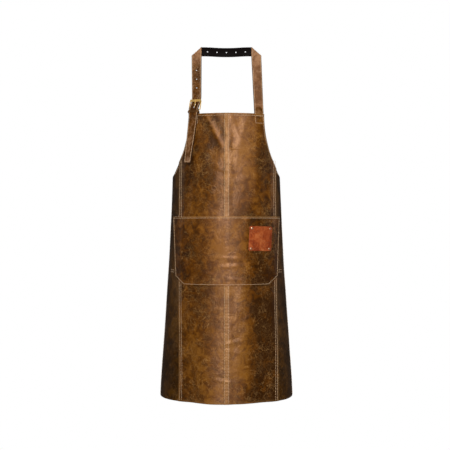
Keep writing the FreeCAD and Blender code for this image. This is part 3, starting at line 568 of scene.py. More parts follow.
def side_panel(name, node, side):
    drops = SEAM_START - 0.004 + spaced(250, 0.002) * (HEM - SEAM_START + 0.004)
    across = spaced(34, 0.014)
    start = turn_at(np.minimum(seam_half(drops, side) - LAP, armhole_half(drops) - 0.004), drops)
    turn = start[:, None] + (back_turn(drops) - start)[:, None] * across[None, :]
    drop = np.repeat(drops[:, None], len(across), 1)
    grid, outward = on_apron(side * turn, drop, -0.0001)
    edges = np.exp(-((back_turn(drops)[:, None] - turn) / 0.02) ** 2) + np.exp(-((HEM - drop) / 0.005) ** 2)
    panel = hide_piece(
        name, grid, outward, LEATHER, [side_leather, flesh_side, dark_edge],
        worn_places(grid[..., 0], drop, 0.25 * edges))
    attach(panel, "apron")
    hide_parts(node)
    return panel


side_panel("left_side_hide", "side_panel_left", -1)
side_panel("right_side_hide", "side_panel_right", 1)


# ---- Seams --------------------------------------------------------------------------------------
# Waxed tan thread in short lock stitches: two rows down each lapped seam, one row along the bib's
# top edge, the armholes and the free side edges.

thread_finish, tree, thread_surface = new_finish("waxed_thread", Roughness=0.55, Sheen_Weight=0.3)
thread_place = place_node(tree, "ShaderNodeTexCoord")
thread_soil = place_node(tree, "ShaderNodeTexNoise", Scale=90.0, Detail=4.0)
thread_tint = colour_mix(tree, (0.60, 0.37, 0.20), (0.88, 0.60, 0.34))
thread_twist = place_node(tree, "ShaderNodeTexWave", Scale=900.0, Distortion=1.0)
thread_bump = place_node(tree, "ShaderNodeBump", Strength=0.5, Distance=0.0002)
wire(thread_place, "Object", thread_soil, "Vector")
wire(thread_place, "Object", thread_twist, "Vector")
wire(thread_soil, "Fac", thread_tint, "Factor")
wire(thread_twist, "Fac", thread_bump, "Height")
wire(thread_tint, "Result", thread_surface, "Base Color")
wire(thread_bump, "Normal", thread_surface, "Normal")

THREAD = 0.00125
STITCH_PITCH = 0.0044
STITCH_LENGTH = 0.0036
stitch_wobble = np.random.default_rng(11)


def stitches(name, path, outward, body, slot, thread=THREAD):
    """A row of stitches along a path, each an arched length of thread with its ends in the leather."""
    path = np.asarray(path, float)
    steps = np.linalg.norm(np.diff(path, axis=0), axis=1)
    run = np.concatenate([[0], np.cumsum(steps)])
    count = max(int(run[-1] / STITCH_PITCH), 1)
    centres = (np.arange(count) + 0.5) * run[-1] / count

    def pick(where, rows):
        return np.stack([np.interp(where, run, rows[:, i]) for i in range(3)], -1)

    centre = pick(centres, path)
    direction = pick(centres + 0.0005, path) - pick(centres - 0.0005, path)
    direction /= np.maximum(np.linalg.norm(direction, axis=1, keepdims=True), 1e-12)
    normal = pick(centres, np.asarray(outward, float))
    normal -= direction * (normal * direction).sum(1, keepdims=True)
    normal /= np.linalg.norm(normal, axis=1, keepdims=True)
    beside = np.cross(direction, normal)
    direction = direction + beside * stitch_wobble.normal(0.10, 0.05, (count, 1))
    stations = np.array([-0.5, -0.42, -0.2, 0.2, 0.42, 0.5])
    swell = np.array([0.25, 0.75, 1.0, 1.0, 0.75, 0.25]) * thread / 2
    height = np.array([-0.35, 0.05, 0.28, 0.28, 0.05, -0.35]) * thread
    around = np.linspace(0, 2 * math.pi, 7)[:-1]
    along, swell, height = [row[None, :, None, None] for row in (stations * STITCH_LENGTH, swell, height)]
    rise, side = [row[None, None, :, None] for row in (np.sin(around), np.cos(around))]
    centre, direction, normal, beside = [
        row[:, None, None] for row in (centre, direction, normal, beside)]
    rings = (centre + direction * along + normal * (height + swell * rise) + beside * swell * side)
    ring_count, sides = len(stations), len(around)
    base = []
    for i in range(ring_count - 1):
        for k in range(sides):
            nxt = (k + 1) % sides
            base.append([i * sides + k, i * sides + nxt, (i + 1) * sides + nxt, (i + 1) * sides + k])
    faces = []
    for n in range(count):
        shift = n * ring_count * sides
        faces += [[v + shift for v in quad] for quad in base]
        faces.append([shift + k for k in range(sides)][::-1])
        faces.append([shift + (ring_count - 1) * sides + k for k in range(sides)])
    row = make_piece(name, rings.reshape(-1, 3).tolist(), faces, [thread_finish])
    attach(row, body)
    return row


seam_drops = np.linspace(0.004, HEM - 0.004, 700)
for label, offset in (("outer", 0.0055), ("inner", -0.0058)):
    stitches(f"centre_seam_{label}_row", *on_apron(turn_at(offset, seam_drops), seam_drops, LEATHER),
             "apron", "front_leather")
    side_drops = np.linspace(SEAM_START + 0.004, HEM - 0.004, 600)
    for side, hand in HANDS:
        seam_x = side * (seam_half(side_drops, side) + 0.42 * offset + 0.0004)
        stitches(f"{hand}_seam_{label}_row", *on_apron(turn_at(seam_x, side_drops), side_drops, LEATHER),
                 "apron", "front_leather")
top_x = np.linspace(-BIB_TOP_HALF + 0.004, BIB_TOP_HALF - 0.004, 160)
top_drop = np.full(160, 0.0068)
top_lift = middle_lap(top_x) * (top_x > -LAP)
stitches("bib_top_row", *on_apron(turn_at(top_x, top_drop), top_drop, top_lift), "apron", "front_leather")
for side, hand in HANDS:
    hole_drops = np.linspace(0.004, UNDERARM_DROP - 0.006, 200)
    hole_x = side * (armhole_half(hole_drops) - 0.0038)
    on_lap = LEATHER * step(np.abs(hole_x), SEAM_TOP_HALF - SIDE_EASE[0], SEAM_TOP_HALF - SIDE_EASE[1])
    on_lap = on_lap * (hole_drops < SEAM_START)
    stitches(f"{hand}_armhole_row", *on_apron(turn_at(hole_x, hole_drops), hole_drops, on_lap),
             "apron", "front_leather")
    edge_drops = np.linspace(UNDERARM_DROP + 0.012, HEM - 0.004, 500)
    edge_turn = side * (back_turn(edge_drops) - 0.028)
    stitches(f"{hand}_side_edge_row", *on_apron(edge_turn, edge_drops), "apron", "side_leather")


# ---- Pocket -------------------------------------------------------------------------------------
# One wide piece of the front leather, its lower corners cut off, sewn on near its sides and bottom
# with one row of thread.  The mouth has its own row and stands a little off the apron.

POCKET_DROP = 0.292
POCKET_HEIGHT = 0.197
POCKET_HALF = 0.154
POCKET_CORNER = 0.026
POCKET_TAPER = 0.007
MOUTH_GAP = 0.0075


def pocket_edge(down):
    """Half width of the pocket at a distance below its mouth."""
    straight = POCKET_HALF - POCKET_TAPER * np.clip(down / (POCKET_HEIGHT - POCKET_CORNER), 0, 1)
    cut = np.clip(down - (POCKET_HEIGHT - POCKET_CORNER), 0, POCKET_CORNER)
    return straight - cut


def on_pocket(x, down, out=0.0):
    """Points on the pocket's face: sewn flat at the sides and bottom, slack at the mouth."""
    x, down = np.broadcast_arrays(np.asarray(x, float), np.asarray(down, float))
    drop = POCKET_DROP + down
    inside = np.clip(1 - (np.abs(x) / POCKET_HALF) ** 4, 0, 1)
    gape = MOUTH_GAP * inside * (1 - step(down, 0.0, POCKET_HEIGHT * 0.95)) ** 1.1
    slack = 0.0010 * np.sin(26 * x + 1.0) * np.sin(math.pi * down / POCKET_HEIGHT)
    for start, end, width, height, rolled in (
            ((-0.045, 0.112), (0.060, 0.118), 0.006, 0.0013, 0.6),
            ((-0.030, 0.140), (0.070, 0.134), 0.006, 0.0014, 0.7),
            ((0.000, 0.172), (0.080, 0.182), 0.006, 0.0014, 0.6),
            ((-0.120, 0.060), (-0.060, 0.110), 0.010, 0.0015, 0.5),
            ((-0.090, 0.150), (-0.030, 0.165), 0.008, 0.0012, 0.5)):
        slack = slack + ridge(x, down, start, end, width, height, rolled) * inside
    from_side = np.abs(x) - seam_half(drop, np.sign(x))
    seams = LEATHER * (np.exp(-(x / 0.012) ** 2) + np.exp(-(from_side / BESIDE) ** 2))
    lift = LEATHER + 0.0004 + gape + slack * inside + seams * (0.4 + 0.6 * (1 - inside)) + out
    return on_apron(turn_at(x, drop), drop, lift)


pocket_leather = leather_finish(
    "pocket_leather", (0.040, 0.0115, 0.0006), (0.145, 0.044, 0.0024), (0.315, 0.118, 0.014),
    (0.56, 0.30, 0.10), shift=(0.7, -0.3, 0.25))
down_rows = spaced(76, 0.006) * POCKET_HEIGHT
across_pocket = spaced(104, 0.0055) * 2 - 1
pocket_x = pocket_edge(down_rows)[:, None] * across_pocket[None, :]
pocket_down = np.repeat(down_rows[:, None], len(across_pocket), 1)
pocket_grid, pocket_out = on_pocket(pocket_x, pocket_down)
pocket_rub = 0.6 * np.exp(-(pocket_down / 0.004) ** 2) + 0.4 * np.exp(
    -((np.abs(pocket_x) - pocket_edge(pocket_down)) / 0.003) ** 2)
# The pocket's tone layer is the same painted sheen and painted shade, made a little stronger.
pocket = hide_piece(
    "pocket_hide", pocket_grid, pocket_out, LEATHER, [pocket_leather, flesh_side, dark_edge],
    np.clip(pocket_rub, 0, 1), 1.15 * painted_sheen_and_shade(pocket_x, POCKET_DROP + pocket_down))
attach(pocket, "apron")
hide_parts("pocket")

SEAM_IN = 0.0042
down_line = np.linspace(SEAM_IN, POCKET_HEIGHT - POCKET_CORNER, 90)
corner_line = np.linspace(POCKET_HEIGHT - POCKET_CORNER, POCKET_HEIGHT - SEAM_IN, 16)[1:]
right_edge = [(pocket_edge(d) - SEAM_IN, d) for d in down_line]
right_edge += [(pocket_edge(d) - SEAM_IN * 1.35, d) for d in corner_line]
bottom_half = right_edge[-1][0]
bottom_edge = [(x, POCKET_HEIGHT - SEAM_IN) for x in np.linspace(bottom_half, -bottom_half, 120)[1:-1]]
sewn_line = np.array(right_edge + bottom_edge + [(-x, d) for x, d in reversed(right_edge)])
stitches("pocket_sewn_row", *on_pocket(sewn_line[:, 0], sewn_line[:, 1]), "apron", "pocket_leather")
mouth_x = np.linspace(-POCKET_HALF + SEAM_IN, POCKET_HALF - SEAM_IN, 200)
stitches("pocket_mouth_row", *on_pocket(mouth_x, 0.0050), "apron", "pocket_leather")


# ---- Patch and rivets ---------------------------------------------------------------------------
# A blank red-brown leather patch on the right of the pocket, turned a little, held at its corners
# by copper rivets whose burrs are closed behind the pocket leather.

PATCH_MIDDLE = (0.0935, 0.3555 - POCKET_DROP)
PATCH_HALF = (0.0322, 0.0352)
PATCH_LEATHER = 0.0016
PATCH_TURN = math.radians(1.8)


def on_patch(u, v, out=0.0):
    """Points over the patch: u and v run -1 to 1 across and down it."""
    u, v = u * PATCH_HALF[0], v * PATCH_HALF[1]
    x = PATCH_MIDDLE[0] + u * math.cos(PATCH_TURN) - v * math.sin(PATCH_TURN)
    down = PATCH_MIDDLE[1] + u * math.sin(PATCH_TURN) + v * math.cos(PATCH_TURN)
    return on_pocket(x, down, out)


patch_leather = leather_finish(
    "patch_leather", (0.20, 0.026, 0.006), (0.40, 0.070, 0.014), (0.56, 0.15, 0.040), (0.60, 0.24, 0.09),
    roughness=0.5, cloud_scale=24.0, crumple=0.0006)
lines = spaced(30, 0.018) * 2 - 1
square_u, square_v = np.meshgrid(lines, lines)
ROUND = 0.12
corner_pull = np.clip(np.maximum(np.abs(square_u), np.abs(square_v)), 1e-6, 1)
round_share = np.clip((np.abs(square_u) - (1 - ROUND)) / ROUND, 0, 1) * np.clip(
    (np.abs(square_v) - (1 - ROUND)) / ROUND, 0, 1)
patch_u = square_u * (1 - 0.29 * ROUND * round_share)
patch_v = square_v * (1 - 0.29 * ROUND * round_share)
patch_rim = np.exp(-((1 - corner_pull) / 0.05) ** 2)
patch_grid, patch_out = on_patch(patch_u, patch_v, PATCH_LEATHER + 0.0002 - 0.0002 * patch_rim)
patch = hide_piece(
    "riveted_patch", patch_grid, patch_out, PATCH_LEATHER, [patch_leather, flesh_side, dark_edge])
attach(patch, "apron")
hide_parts("pocket_patch")


def metal_finish(name, colour, dull, roughness, metallic):
    """Cast or struck metal with a satin skin, handling wear and a little tarnish."""
    finish, tree, surface = new_finish(name, Metallic=metallic)
    coordinates = place_node(tree, "ShaderNodeTexCoord")
    tarnish = place_node(tree, "ShaderNodeTexNoise", Scale=420.0, Detail=5.0, Roughness=0.7)
    tint = colour_mix(tree, dull, colour)
    share = place_node(tree, "ShaderNodeMapRange", From_Min=0.35, From_Max=0.6)
    gloss = place_node(tree, "ShaderNodeMapRange", To_Min=roughness + 0.15, To_Max=roughness)
    dents = place_node(tree, "ShaderNodeBump", Strength=0.25, Distance=0.0002)
    wire(coordinates, "Object", tarnish, "Vector")
    wire(tarnish, "Fac", share, "Value")
    wire(share, "Result", tint, "Factor")
    wire(share, "Result", gloss, "Value")
    wire(tarnish, "Fac", dents, "Height")
    wire(tint, "Result", surface, "Base Color")
    wire(gloss, "Result", surface, "Roughness")
    wire(dents, "Normal", surface, "Normal")
    return finish


copper = metal_finish("rivet_copper", (0.95, 0.62, 0.40), (0.45, 0.22, 0.12), 0.28, 0.8)


def turned_discs(name, places, profile, finish, node):
    """Round pieces turned from a profile of (radius, height) pairs, one at each place."""
    points = []
    faces = []
    sides = 28
    for centre, axis in places:
        axis = Vector(axis).normalized()
        lean = axis.to_track_quat("Z", "Y")
        base = len(points)
        for radius, height in profile:
            for k in range(sides):
                angle = 2 * math.pi * k / sides
                spoke = Vector((radius * math.cos(angle), radius * math.sin(angle), height))
                points.append(Vector(centre) + lean @ spoke)
        for i in range(len(profile) - 1):
            for k in range(sides):
                nxt = (k + 1) % sides
                faces.append([base + i * sides + k, base + i * sides + nxt,
                              base + (i + 1) * sides + nxt, base + (i + 1) * sides + k])
        faces.append([base + k for k in range(sides)][::-1])
        faces.append([base + (len(profile) - 1) * sides + k for k in range(sides)])
    piece = make_piece(name, [tuple(p) for p in points], faces, [finish], sharp=40)
    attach(piece, "apron")
    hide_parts(node)
    return piece


rivet_places = []
burr_places = []
for u, v in ((-0.80, -0.82), (0.80, -0.82), (-0.80, 0.82), (0.80, 0.82)):
    point, outward = on_patch(np.array([u]), np.array([v]), PATCH_LEATHER)
    rivet_places.append((point[0], outward[0]))
    point, outward = on_patch(np.array([u]), np.array([v]), -LEATHER)
    burr_places.append((point[0], -outward[0]))
rivet_profile = [(0.0034, -0.0004), (0.0036, 0.0002), (0.0034, 0.0006), (0.0027, 0.0011),
                 (0.0016, 0.00145), (0.0004, 0.0016)]
turned_discs("copper_rivets", rivet_places, rivet_profile, copper, "patch_rivets")
burr_profile = [(0.0031, -0.0003), (0.0032, 0.0004), (0.0029, 0.0007), (0.0016, 0.0006),
                (0.0015, 0.0011), (0.0003, 0.0012)]
turned_discs("rivet_burrs", burr_places, burr_profile, copper, "patch_rivet_burrs")


# ---- Neck strap ---------------------------------------------------------------------------------
# Brown leather over a black lining, sewn together along both edges.  It is sewn behind the bib on
# the right, folded over at each shoulder so that the band behind the neck shows its black side,
# and its left run passes through the buckle.

STRAP_WIDTH = 0.029
STRAP_BROWN = 0.0016
STRAP_BLACK = 0.0012
BAND_FACE = STRAP_BROWN + 2 * STRAP_BLACK
STRAIGHT_BAND = 0.058
STRAP_AT_BIB = 0.0935
SEWN_DEPTH = 0.032
STRAP_AT_FOLD = 0.0866
FOLD_FORWARD = 0.018
BAND_BOW = 0.0132
FOLD_IN = 0.00267
LEAN = math.radians(18)
SIDEWAYS = np.array([1.0, 0, 0])
REARWARD = np.array([0, 1.0, 0])
UP_STRAP = np.array([0, math.sin(LEAN), math.cos(LEAN)])
BACK = np.array([0, math.cos(LEAN), -math.sin(LEAN)])
STRAP_TURN = math.radians(24)
HEEL = np.array([-0.091317, -0.067549, -0.164082])
BAR_WAY = np.array([math.cos(STRAP_TURN), -math.sin(STRAP_TURN), 0])
RISE = np.array([0.1169827, 0.2627460, 0.9577464])
INWARD = np.cross(RISE, BAR_WAY)
HOLE_PITCH = 0.0275
HOLE_RADIUS = 0.0018


def in_buckle(across, inward, along):
    """A point by the neck buckle: across the strap, towards the wearer, up from the heel bar."""
    return HEEL + BAR_WAY * across + INWARD * inward + RISE * along


def band_back(x):
    """How far back the band's front face lies at a place along it."""
    t = np.linspace(1, 0, 60)
    flat_end = STRAP_AT_FOLD - STRAP_WIDTH / 2
    reach = flat_end * ((1 - t) ** 3 + 1.5 * (1 - t) * t)
    return np.interp(abs(x), reach, BAND_BOW * (3 * (1 - t) * t * t + t ** 3)) - FOLD_FORWARD


def on_band(x, up, depth):
    return np.array([x, band_back(x), 0]) + UP_STRAP * up + BACK * depth


def on_riser(side, edge, up):
    """Where brown meets black on a riser's edge: edge 1 is the outer one, -1 the one by the neck."""
    half = edge * STRAP_WIDTH / 2
    fold = np.array([side * (STRAP_AT_FOLD + half), -FOLD_FORWARD, 0]) + BACK * STRAP_BROWN
    if up >= 0:
        return fold + UP_STRAP * up
    if side < 0:
        low = in_buckle(-half, 0.0035, 0.041)
        length = 0.131
    else:
        back = on_apron(turn_at(STRAP_AT_BIB, 0.0), 0.0, -LEATHER - STRAP_BROWN)[0]
        low = back + half * np.array([math.cos(STRAP_TURN), math.sin(STRAP_TURN), 0])
        length = 0.1833
    return fold + (low - fold) * (-up / length)


def fold_rows(side):
    """Rows from the straight riser, over the fold, to the straight band: neck edge and outer edge."""
    rows = []
    outer_end = STRAP_AT_FOLD + STRAP_WIDTH / 2
    inner_end = outer_end - STRAP_WIDTH
    for share in np.linspace(0, 1, 9):
        neck_up = -0.030 + share * (0.030 + STRAP_WIDTH - FOLD_IN)
        outer_up = -0.030 + share * (0.030 - FOLD_IN)
        rows.append((on_riser(side, -1, neck_up), on_riser(side, 1, outer_up)))
    over = (np.array([side, 0, 0]) + UP_STRAP) / math.sqrt(2)
    for share in np.linspace(0, 1, 11)[1:]:
        swing = math.pi * share
        reach = STRAP_BLACK * (math.sin(swing) * over - math.cos(swing) * BACK)
        middle = STRAP_BROWN + STRAP_BLACK
        neck_x = inner_end - FOLD_IN * share
        outer_x = outer_end - FOLD_IN * share
        neck = on_band(side * neck_x, STRAP_WIDTH - FOLD_IN * (1 - share), middle) + reach
        outer = on_band(side * outer_x, -FOLD_IN * (1 - share), middle) + reach
        rows.append((neck, outer))
    for share in np.linspace(0, 1, 9)[1:]:
        top_x = inner_end - FOLD_IN + share * (STRAIGHT_BAND - inner_end + FOLD_IN)
        low_x = outer_end - FOLD_IN + share * (STRAIGHT_BAND - outer_end + FOLD_IN)
        rows.append((on_band(side * top_x, STRAP_WIDTH, BAND_FACE), on_band(side * low_x, 0, BAND_FACE)))
    return rows


def smoothed(rows, passes):
    """Eases the kinks out of a run of points, leaving its ends alone."""
    for _ in range(passes):
        rows[1:-1] = 0.25 * rows[:-2] + 0.5 * rows[1:-1] + 0.25 * rows[2:]
    return rows


def buckle_run(path, start, end, count):
    """Edges of the strap through the buckle, eased along a path of (along, inward) points."""
    along = np.linspace(start, end, count)
    inward = smoothed(np.interp(-along, [-a for a, _ in path], [b for _, b in path]), 5)
    half = STRAP_WIDTH / 2
    return [(in_buckle(half, b, a), in_buckle(-half, b, a)) for a, b in zip(along, inward)]


sewn_rows = []
for drop in np.linspace(SEWN_DEPTH, 0.004, 6):
    edges = STRAP_AT_BIB + np.array([-1, 1]) * STRAP_WIDTH / 2 * math.cos(STRAP_TURN)
    sewn_rows.append(tuple(on_apron(turn_at(edges, drop), drop, -LEATHER - STRAP_BROWN)[0]))
right_rows = [(on_riser(1, -1, up), on_riser(1, 1, up)) for up in np.linspace(-0.178, -0.034, 26)]
left_rows = [(on_riser(-1, -1, up), on_riser(-1, 1, up)) for up in np.linspace(-0.034, -0.126, 18)]
band_rows = [
    (on_band(x, STRAP_WIDTH, BAND_FACE), on_band(x, 0, BAND_FACE))
    for x in np.linspace(0.054, -0.054, 28)]
BUCKLE_PATH = [(0.041, 0.0035), (0.026, 0.0035), (0.0037, -0.0053), (-0.012, -0.0060)]
strap_rows = np.array(
    sewn_rows + right_rows + fold_rows(1) + band_rows + fold_rows(-1)[::-1] + left_rows
    + buckle_run(BUCKLE_PATH, 0.041, -0.007, 34))


def strap_frame(rows):
    """Width, direction to the brown side and across, for every row of a strap."""
    across = rows[:, 1] - rows[:, 0]
    width = np.linalg.norm(across, axis=1, keepdims=True)
    along = np.gradient(rows.mean(1), axis=0)
    outward = np.cross(across, along)
    return width, outward / np.linalg.norm(outward, axis=1, keepdims=True), across / width


def strap_layer(name, rows, low, high, finishes, closed=False, painted_light_and_tone=None):
    """A layer of strap between two heights over its rows, with rounded edges and closed ends."""
    width, outward, across = strap_frame(rows)
    soft = min(0.0006, (high - low) * 0.42)
    inset = [0, 0, 0.3 * soft, soft]
    front = [low + soft, high - soft, high - 0.3 * soft, high]
    profile = [(0.0, e, h) for e, h in zip(inset, front)] + [(s, 0.0, high) for s in (0.25, 0.5, 0.75)]
    profile += [(1.0, -e, h) for e, h in zip(inset[::-1], front[::-1])]
    profile += [(1.0, -soft, low), (0.5, 0.0, low), (0.0, soft, low)]
    rings = np.stack([
        rows[:, 0] + across * (share * width + edge) + outward * height
        for share, edge, height in profile], 1)
    count, sides = rings.shape[:2]
    faces = []
    kinds = []
    edge_sides = (0, 1, 2, 7, 8, 9, 10, sides - 1)
    for i in range(count if closed else count - 1):
        on = (i + 1) % count
        for k in range(sides):
            nxt = (k + 1) % sides
            faces.append([i * sides + k, i * sides + nxt, on * sides + nxt, on * sides + k])
            kinds.append(1 if k in edge_sides else 0)
    if not closed:
        faces += [[k for k in range(sides)][::-1], [(count - 1) * sides + k for k in range(sides)]]
        kinds += [1, 1]
    layer = make_piece(name, rings.reshape(-1, 3).tolist(), faces, finishes, kinds, sharp=60)
    # This tone layer carries painted sheen and painted shade to the finish.
    if painted_light_and_tone is not None:
        tone_layer(layer.data, "painted_light_and_tone", np.repeat(painted_light_and_tone, sides))
    return layer


def punch_block(name, pegs, finish):
    """Tools for punching: round or oval pegs given by (middle, axis, long way, half length, half width)."""
    points = []
    faces = []
    for middle, axis, long_way, half_length, half_width in pegs:
        wide_way = np.cross(axis, long_way)
        base = len(points)
        for end in (-0.008, 0.008):
            for angle in np.linspace(0, 2 * math.pi, 25)[:-1]:
                stretch = (half_length - half_width) * np.sign(math.cos(angle))
                points.append(middle + axis * end + long_way * (half_width * math.cos(angle) + stretch)
                              + wide_way * half_width * math.sin(angle))
        faces += [[base + k, base + (k + 1) % 24, base + 24 + (k + 1) % 24, base + 24 + k] for k in range(24)]
        faces += [[base + k for k in range(24)][::-1], [base + 24 + k for k in range(24)]]
    mesh = bpy.data.meshes.new(name)
    mesh.from_pydata(points, [], faces)
    mesh.materials.append(finish)
    block = bpy.data.objects.new(name, mesh)
    bpy.context.scene.collection.objects.link(block)
    return block


def punch(layers, pegs):
    """Cuts holes through strap layers and leaves their walls dark."""
    block = punch_block("punch", pegs, dark_edge)
    for layer in layers:
        cutter = layer.modifiers.new("punch", "BOOLEAN")
        cutter.object = block
        cutter.solver = "EXACT"
        cutter.material_mode = "TRANSFER"
        cut_layer = layer.evaluated_get(bpy.context.evaluated_depsgraph_get())
        punched = bpy.data.meshes.new_from_object(cut_layer)
        layer.modifiers.remove(cutter)
        layer.data = punched
        punched.set_sharp_from_angle(angle=math.radians(50))
    bpy.data.objects.remove(block)


strap_leather = leather_finish(
    "strap_leather", (0.050, 0.0145, 0.0008), (0.140, 0.046, 0.004), (0.38, 0.185, 0.080), (0.56, 0.36, 0.21),
    roughness=0.40, cloud_scale=9.0, shift=(0.2, 0.9, 0.4), crumple=0.0008)
strap_lining = napped_finish("black_lining", (0.0030, 0.0014, 0.0012), (0.007, 0.0035, 0.003), 0.7, 0.0)
strap_edge = napped_finish("strap_cut_edge", (0.016, 0.008, 0.005), (0.045, 0.022, 0.012), 0.55, 0.0)
strap_x, _, strap_z = strap_rows.mean(1).T
# Painted sheen on the right riser above the bib and over the left shoulder fold; elsewhere the strap's tone
# is pushed a little darker.
strap_painted_sheen = 0.42 * step(strap_x, 0.02, 0.06) * step(strap_z, -0.165, -0.150) - 0.12
strap_painted_sheen = strap_painted_sheen + 0.40 * step(-strap_x, 0.02, 0.06) * step(strap_z, -0.035, -0.018)
strap_brown = strap_layer(
    "neck_strap_leather", strap_rows, 0.0, STRAP_BROWN, [strap_leather, strap_edge], painted_light_and_tone=strap_painted_sheen)
strap_black = strap_layer("neck_strap_black_side", strap_rows, -STRAP_BLACK, 0.0, [strap_lining, strap_edge])
strap_holes = [
    (on_band(x, STRAP_WIDTH / 2, 0.004), REARWARD, SIDEWAYS, HOLE_RADIUS, HOLE_RADIUS)
    for x in np.arange(-2, 3) * HOLE_PITCH]
for i in range(3):
    up = -HOLE_PITCH * (1.7 + i)
    middle = (on_riser(-1, -1, up) + on_riser(-1, 1, up)) / 2
    strap_holes.append((middle, BACK, SIDEWAYS, HOLE_RADIUS, HOLE_RADIUS))
strap_holes.append((in_buckle(0, 0, 0.0122), INWARD, RISE, 0.0079, 0.0022))
punch([strap_brown, strap_black], strap_holes)
for layer, node, name in (
        (strap_brown, "neck_strap", "strap_leather"),
        (strap_black, "neck_strap_lining", "strap_lining")):
    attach(layer, "apron")
    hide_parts(node)


def strap_stitches(name, rows, share, height, body, slot):
    """A stitch row along a strap, at a share of its width, on its brown or its black side."""
    width, outward, across = strap_frame(rows)
    row = rows[:, 0] + across * width * share + outward * height
    sewn = stitches(name, row, outward * np.sign(height), body, slot, 0.0017)
    if height < 0:
        sewn.data.materials[0] = strap_lining
    return sewn


for share, label in ((0.095, "neck_side"), (0.905, "outer")):
    strap_stitches(f"strap_{label}_row", strap_rows, share, STRAP_BROWN, "apron", "strap_leather")
    strap_stitches(f"strap_{label}_back_row", strap_rows, share, -STRAP_BLACK, "apron", "strap_lining")

sewn_box = [(-0.42, 0.006), (0.42, 0.006), (0.42, 0.027), (-0.42, 0.027), (-0.42, 0.006)]
box_path = []
for (u0, d0), (u1, d1) in zip(sewn_box, sewn_box[1:]):
    box_path += [(u0 + (u1 - u0) * t, d0 + (d1 - d0) * t) for t in np.linspace(0, 1, 12)[:-1]]
box_path = np.array(box_path)
for side, hand in HANDS[::-1]:
    box_x = side * STRAP_AT_BIB + box_path[:, 0] * STRAP_WIDTH * math.cos(STRAP_TURN)
    stitches(f"{hand}_strap_box", *on_apron(turn_at(box_x, box_path[:, 1]), box_path[:, 1]),
             "apron", "front_leather")


# ---- Hanging tail -------------------------------------------------------------------------------
# The free end of the neck strap.  It leaves the keeper, lies down the front of the bib leaning
# outward, and its inner edge lifts off the leather.

TAIL_LENGTH = 0.140
TAIL_SHIFT = 0.013
tail_rows = buckle_run(BUCKLE_PATH, 0.004, -0.011, 12)[6:]
for drop in np.linspace(0.003, TAIL_LENGTH, 40):
    share = drop / TAIL_LENGTH
    tail_x = -STRAP_AT_BIB - TAIL_SHIFT * share ** 1.1
    lift = 0.0005 + 0.0060 * share
    middle, outward = on_apron(turn_at(tail_x, drop), drop, 0.0028 + lift / 2)
    across = np.array([outward[1], -outward[0], 0])
    tilt = lift / STRAP_WIDTH
    half_way = (across * math.cos(tilt) - outward * math.sin(tilt)) * STRAP_WIDTH / 2
    tail_rows.append((middle - half_way, middle + half_way))
tail_rows = smoothed(np.array(tail_rows), 3)
tail_brown = strap_layer("tail_leather", tail_rows, 0.0, STRAP_BROWN, [strap_leather, strap_edge])
tail_black = strap_layer("tail_black_side", tail_rows, -STRAP_BLACK, 0.0, [strap_lining, strap_edge])
tail_end = tail_rows[-2] - (tail_rows[-1] - tail_rows[-2]) * 0.2
tail_end_row = np.linspace(tail_end[0], tail_end[1], 20)[2:-2]
tail_end_out = np.repeat(strap_frame(tail_rows)[1][-2:-1], 16, 0)
tail_stitches = [
    strap_stitches("tail_neck_side_row", tail_rows[:-1], 0.10, STRAP_BROWN, "neck_tail", "strap_leather"),
    strap_stitches("tail_outer_row", tail_rows[:-1], 0.90, STRAP_BROWN, "neck_tail", "strap_leather"),
    stitches("tail_end_row", tail_end_row + tail_end_out * STRAP_BROWN, tail_end_out,
             "neck_tail", "strap_leather", 0.0015),
]
for row in tail_stitches:
    row.parent = None
for piece in [tail_brown, tail_black] + tail_stitches:
    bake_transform(piece)
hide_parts("neck_tail")
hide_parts("neck_tail_lining")


# ---- Neck buckle --------------------------------------------------------------------------------
# A brass frame and prong on a leather chape, which is sewn behind the bib and turned round the
# heel bar, and a leather keeper just below them.

CHAPE_WIDTH = STRAP_WIDTH - 0.0024
chape_rows = []
chape_edges = -STRAP_AT_BIB + np.array([1, -1]) * CHAPE_WIDTH / 2 * math.cos(STRAP_TURN)
for drop in np.linspace(SEWN_DEPTH, 0.003, 7):
    chape_rows.append(on_apron(turn_at(chape_edges, drop), drop, -LEATHER - 0.001)[0])
chape_path = [(-0.0085, -0.0010), (-0.0060, -0.0012)]
CHAPE_BEND = 0.0026
chape_path += [
    (-CHAPE_BEND * math.cos(a), -CHAPE_BEND * math.sin(a)) for a in np.linspace(0.75, 2 * math.pi - 0.75, 16)]
chape_path += [(-0.0060, 0.0012), (-0.0085, 0.0010)]
for along, inward in chape_path:
    chape_rows.append([in_buckle(CHAPE_WIDTH / 2, inward, along), in_buckle(-CHAPE_WIDTH / 2, inward, along)])
for drop in np.linspace(0.003, SEWN_DEPTH, 7):
    chape_rows.append(on_apron(turn_at(chape_edges, drop), drop, -2 * LEATHER - 0.001)[0])
anchor = strap_layer("buckle_chape", np.array(chape_rows), -0.0009, 0.0009, [strap_leather, strap_edge])
punch([anchor], [(in_buckle(0, 0, 0), INWARD, RISE, 0.0052, 0.0022)])
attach(anchor, "apron")
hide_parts("neck_buckle_anchor")


def keeper_rows(place, width, front, back, thickness, band):
    """Rows round a keeper: a rounded oblong loop about the strap, its leather's middle surface."""
    soft = 0.0012
    half_wide = width / 2 + thickness / 2 - soft
    middle = (front + back) / 2
    half_deep = (back - front) / 2 + thickness / 2 - soft
    rows = []
    for turn in np.linspace(0, 2 * math.pi, 49)[:-1]:
        u = half_wide * np.sign(math.cos(turn)) + soft * math.cos(turn)
        v = middle + half_deep * np.sign(math.sin(turn)) + soft * math.sin(turn)
        rows.append([place(u, v, band / 2), place(u, v, -band / 2)])
    return np.array(rows)


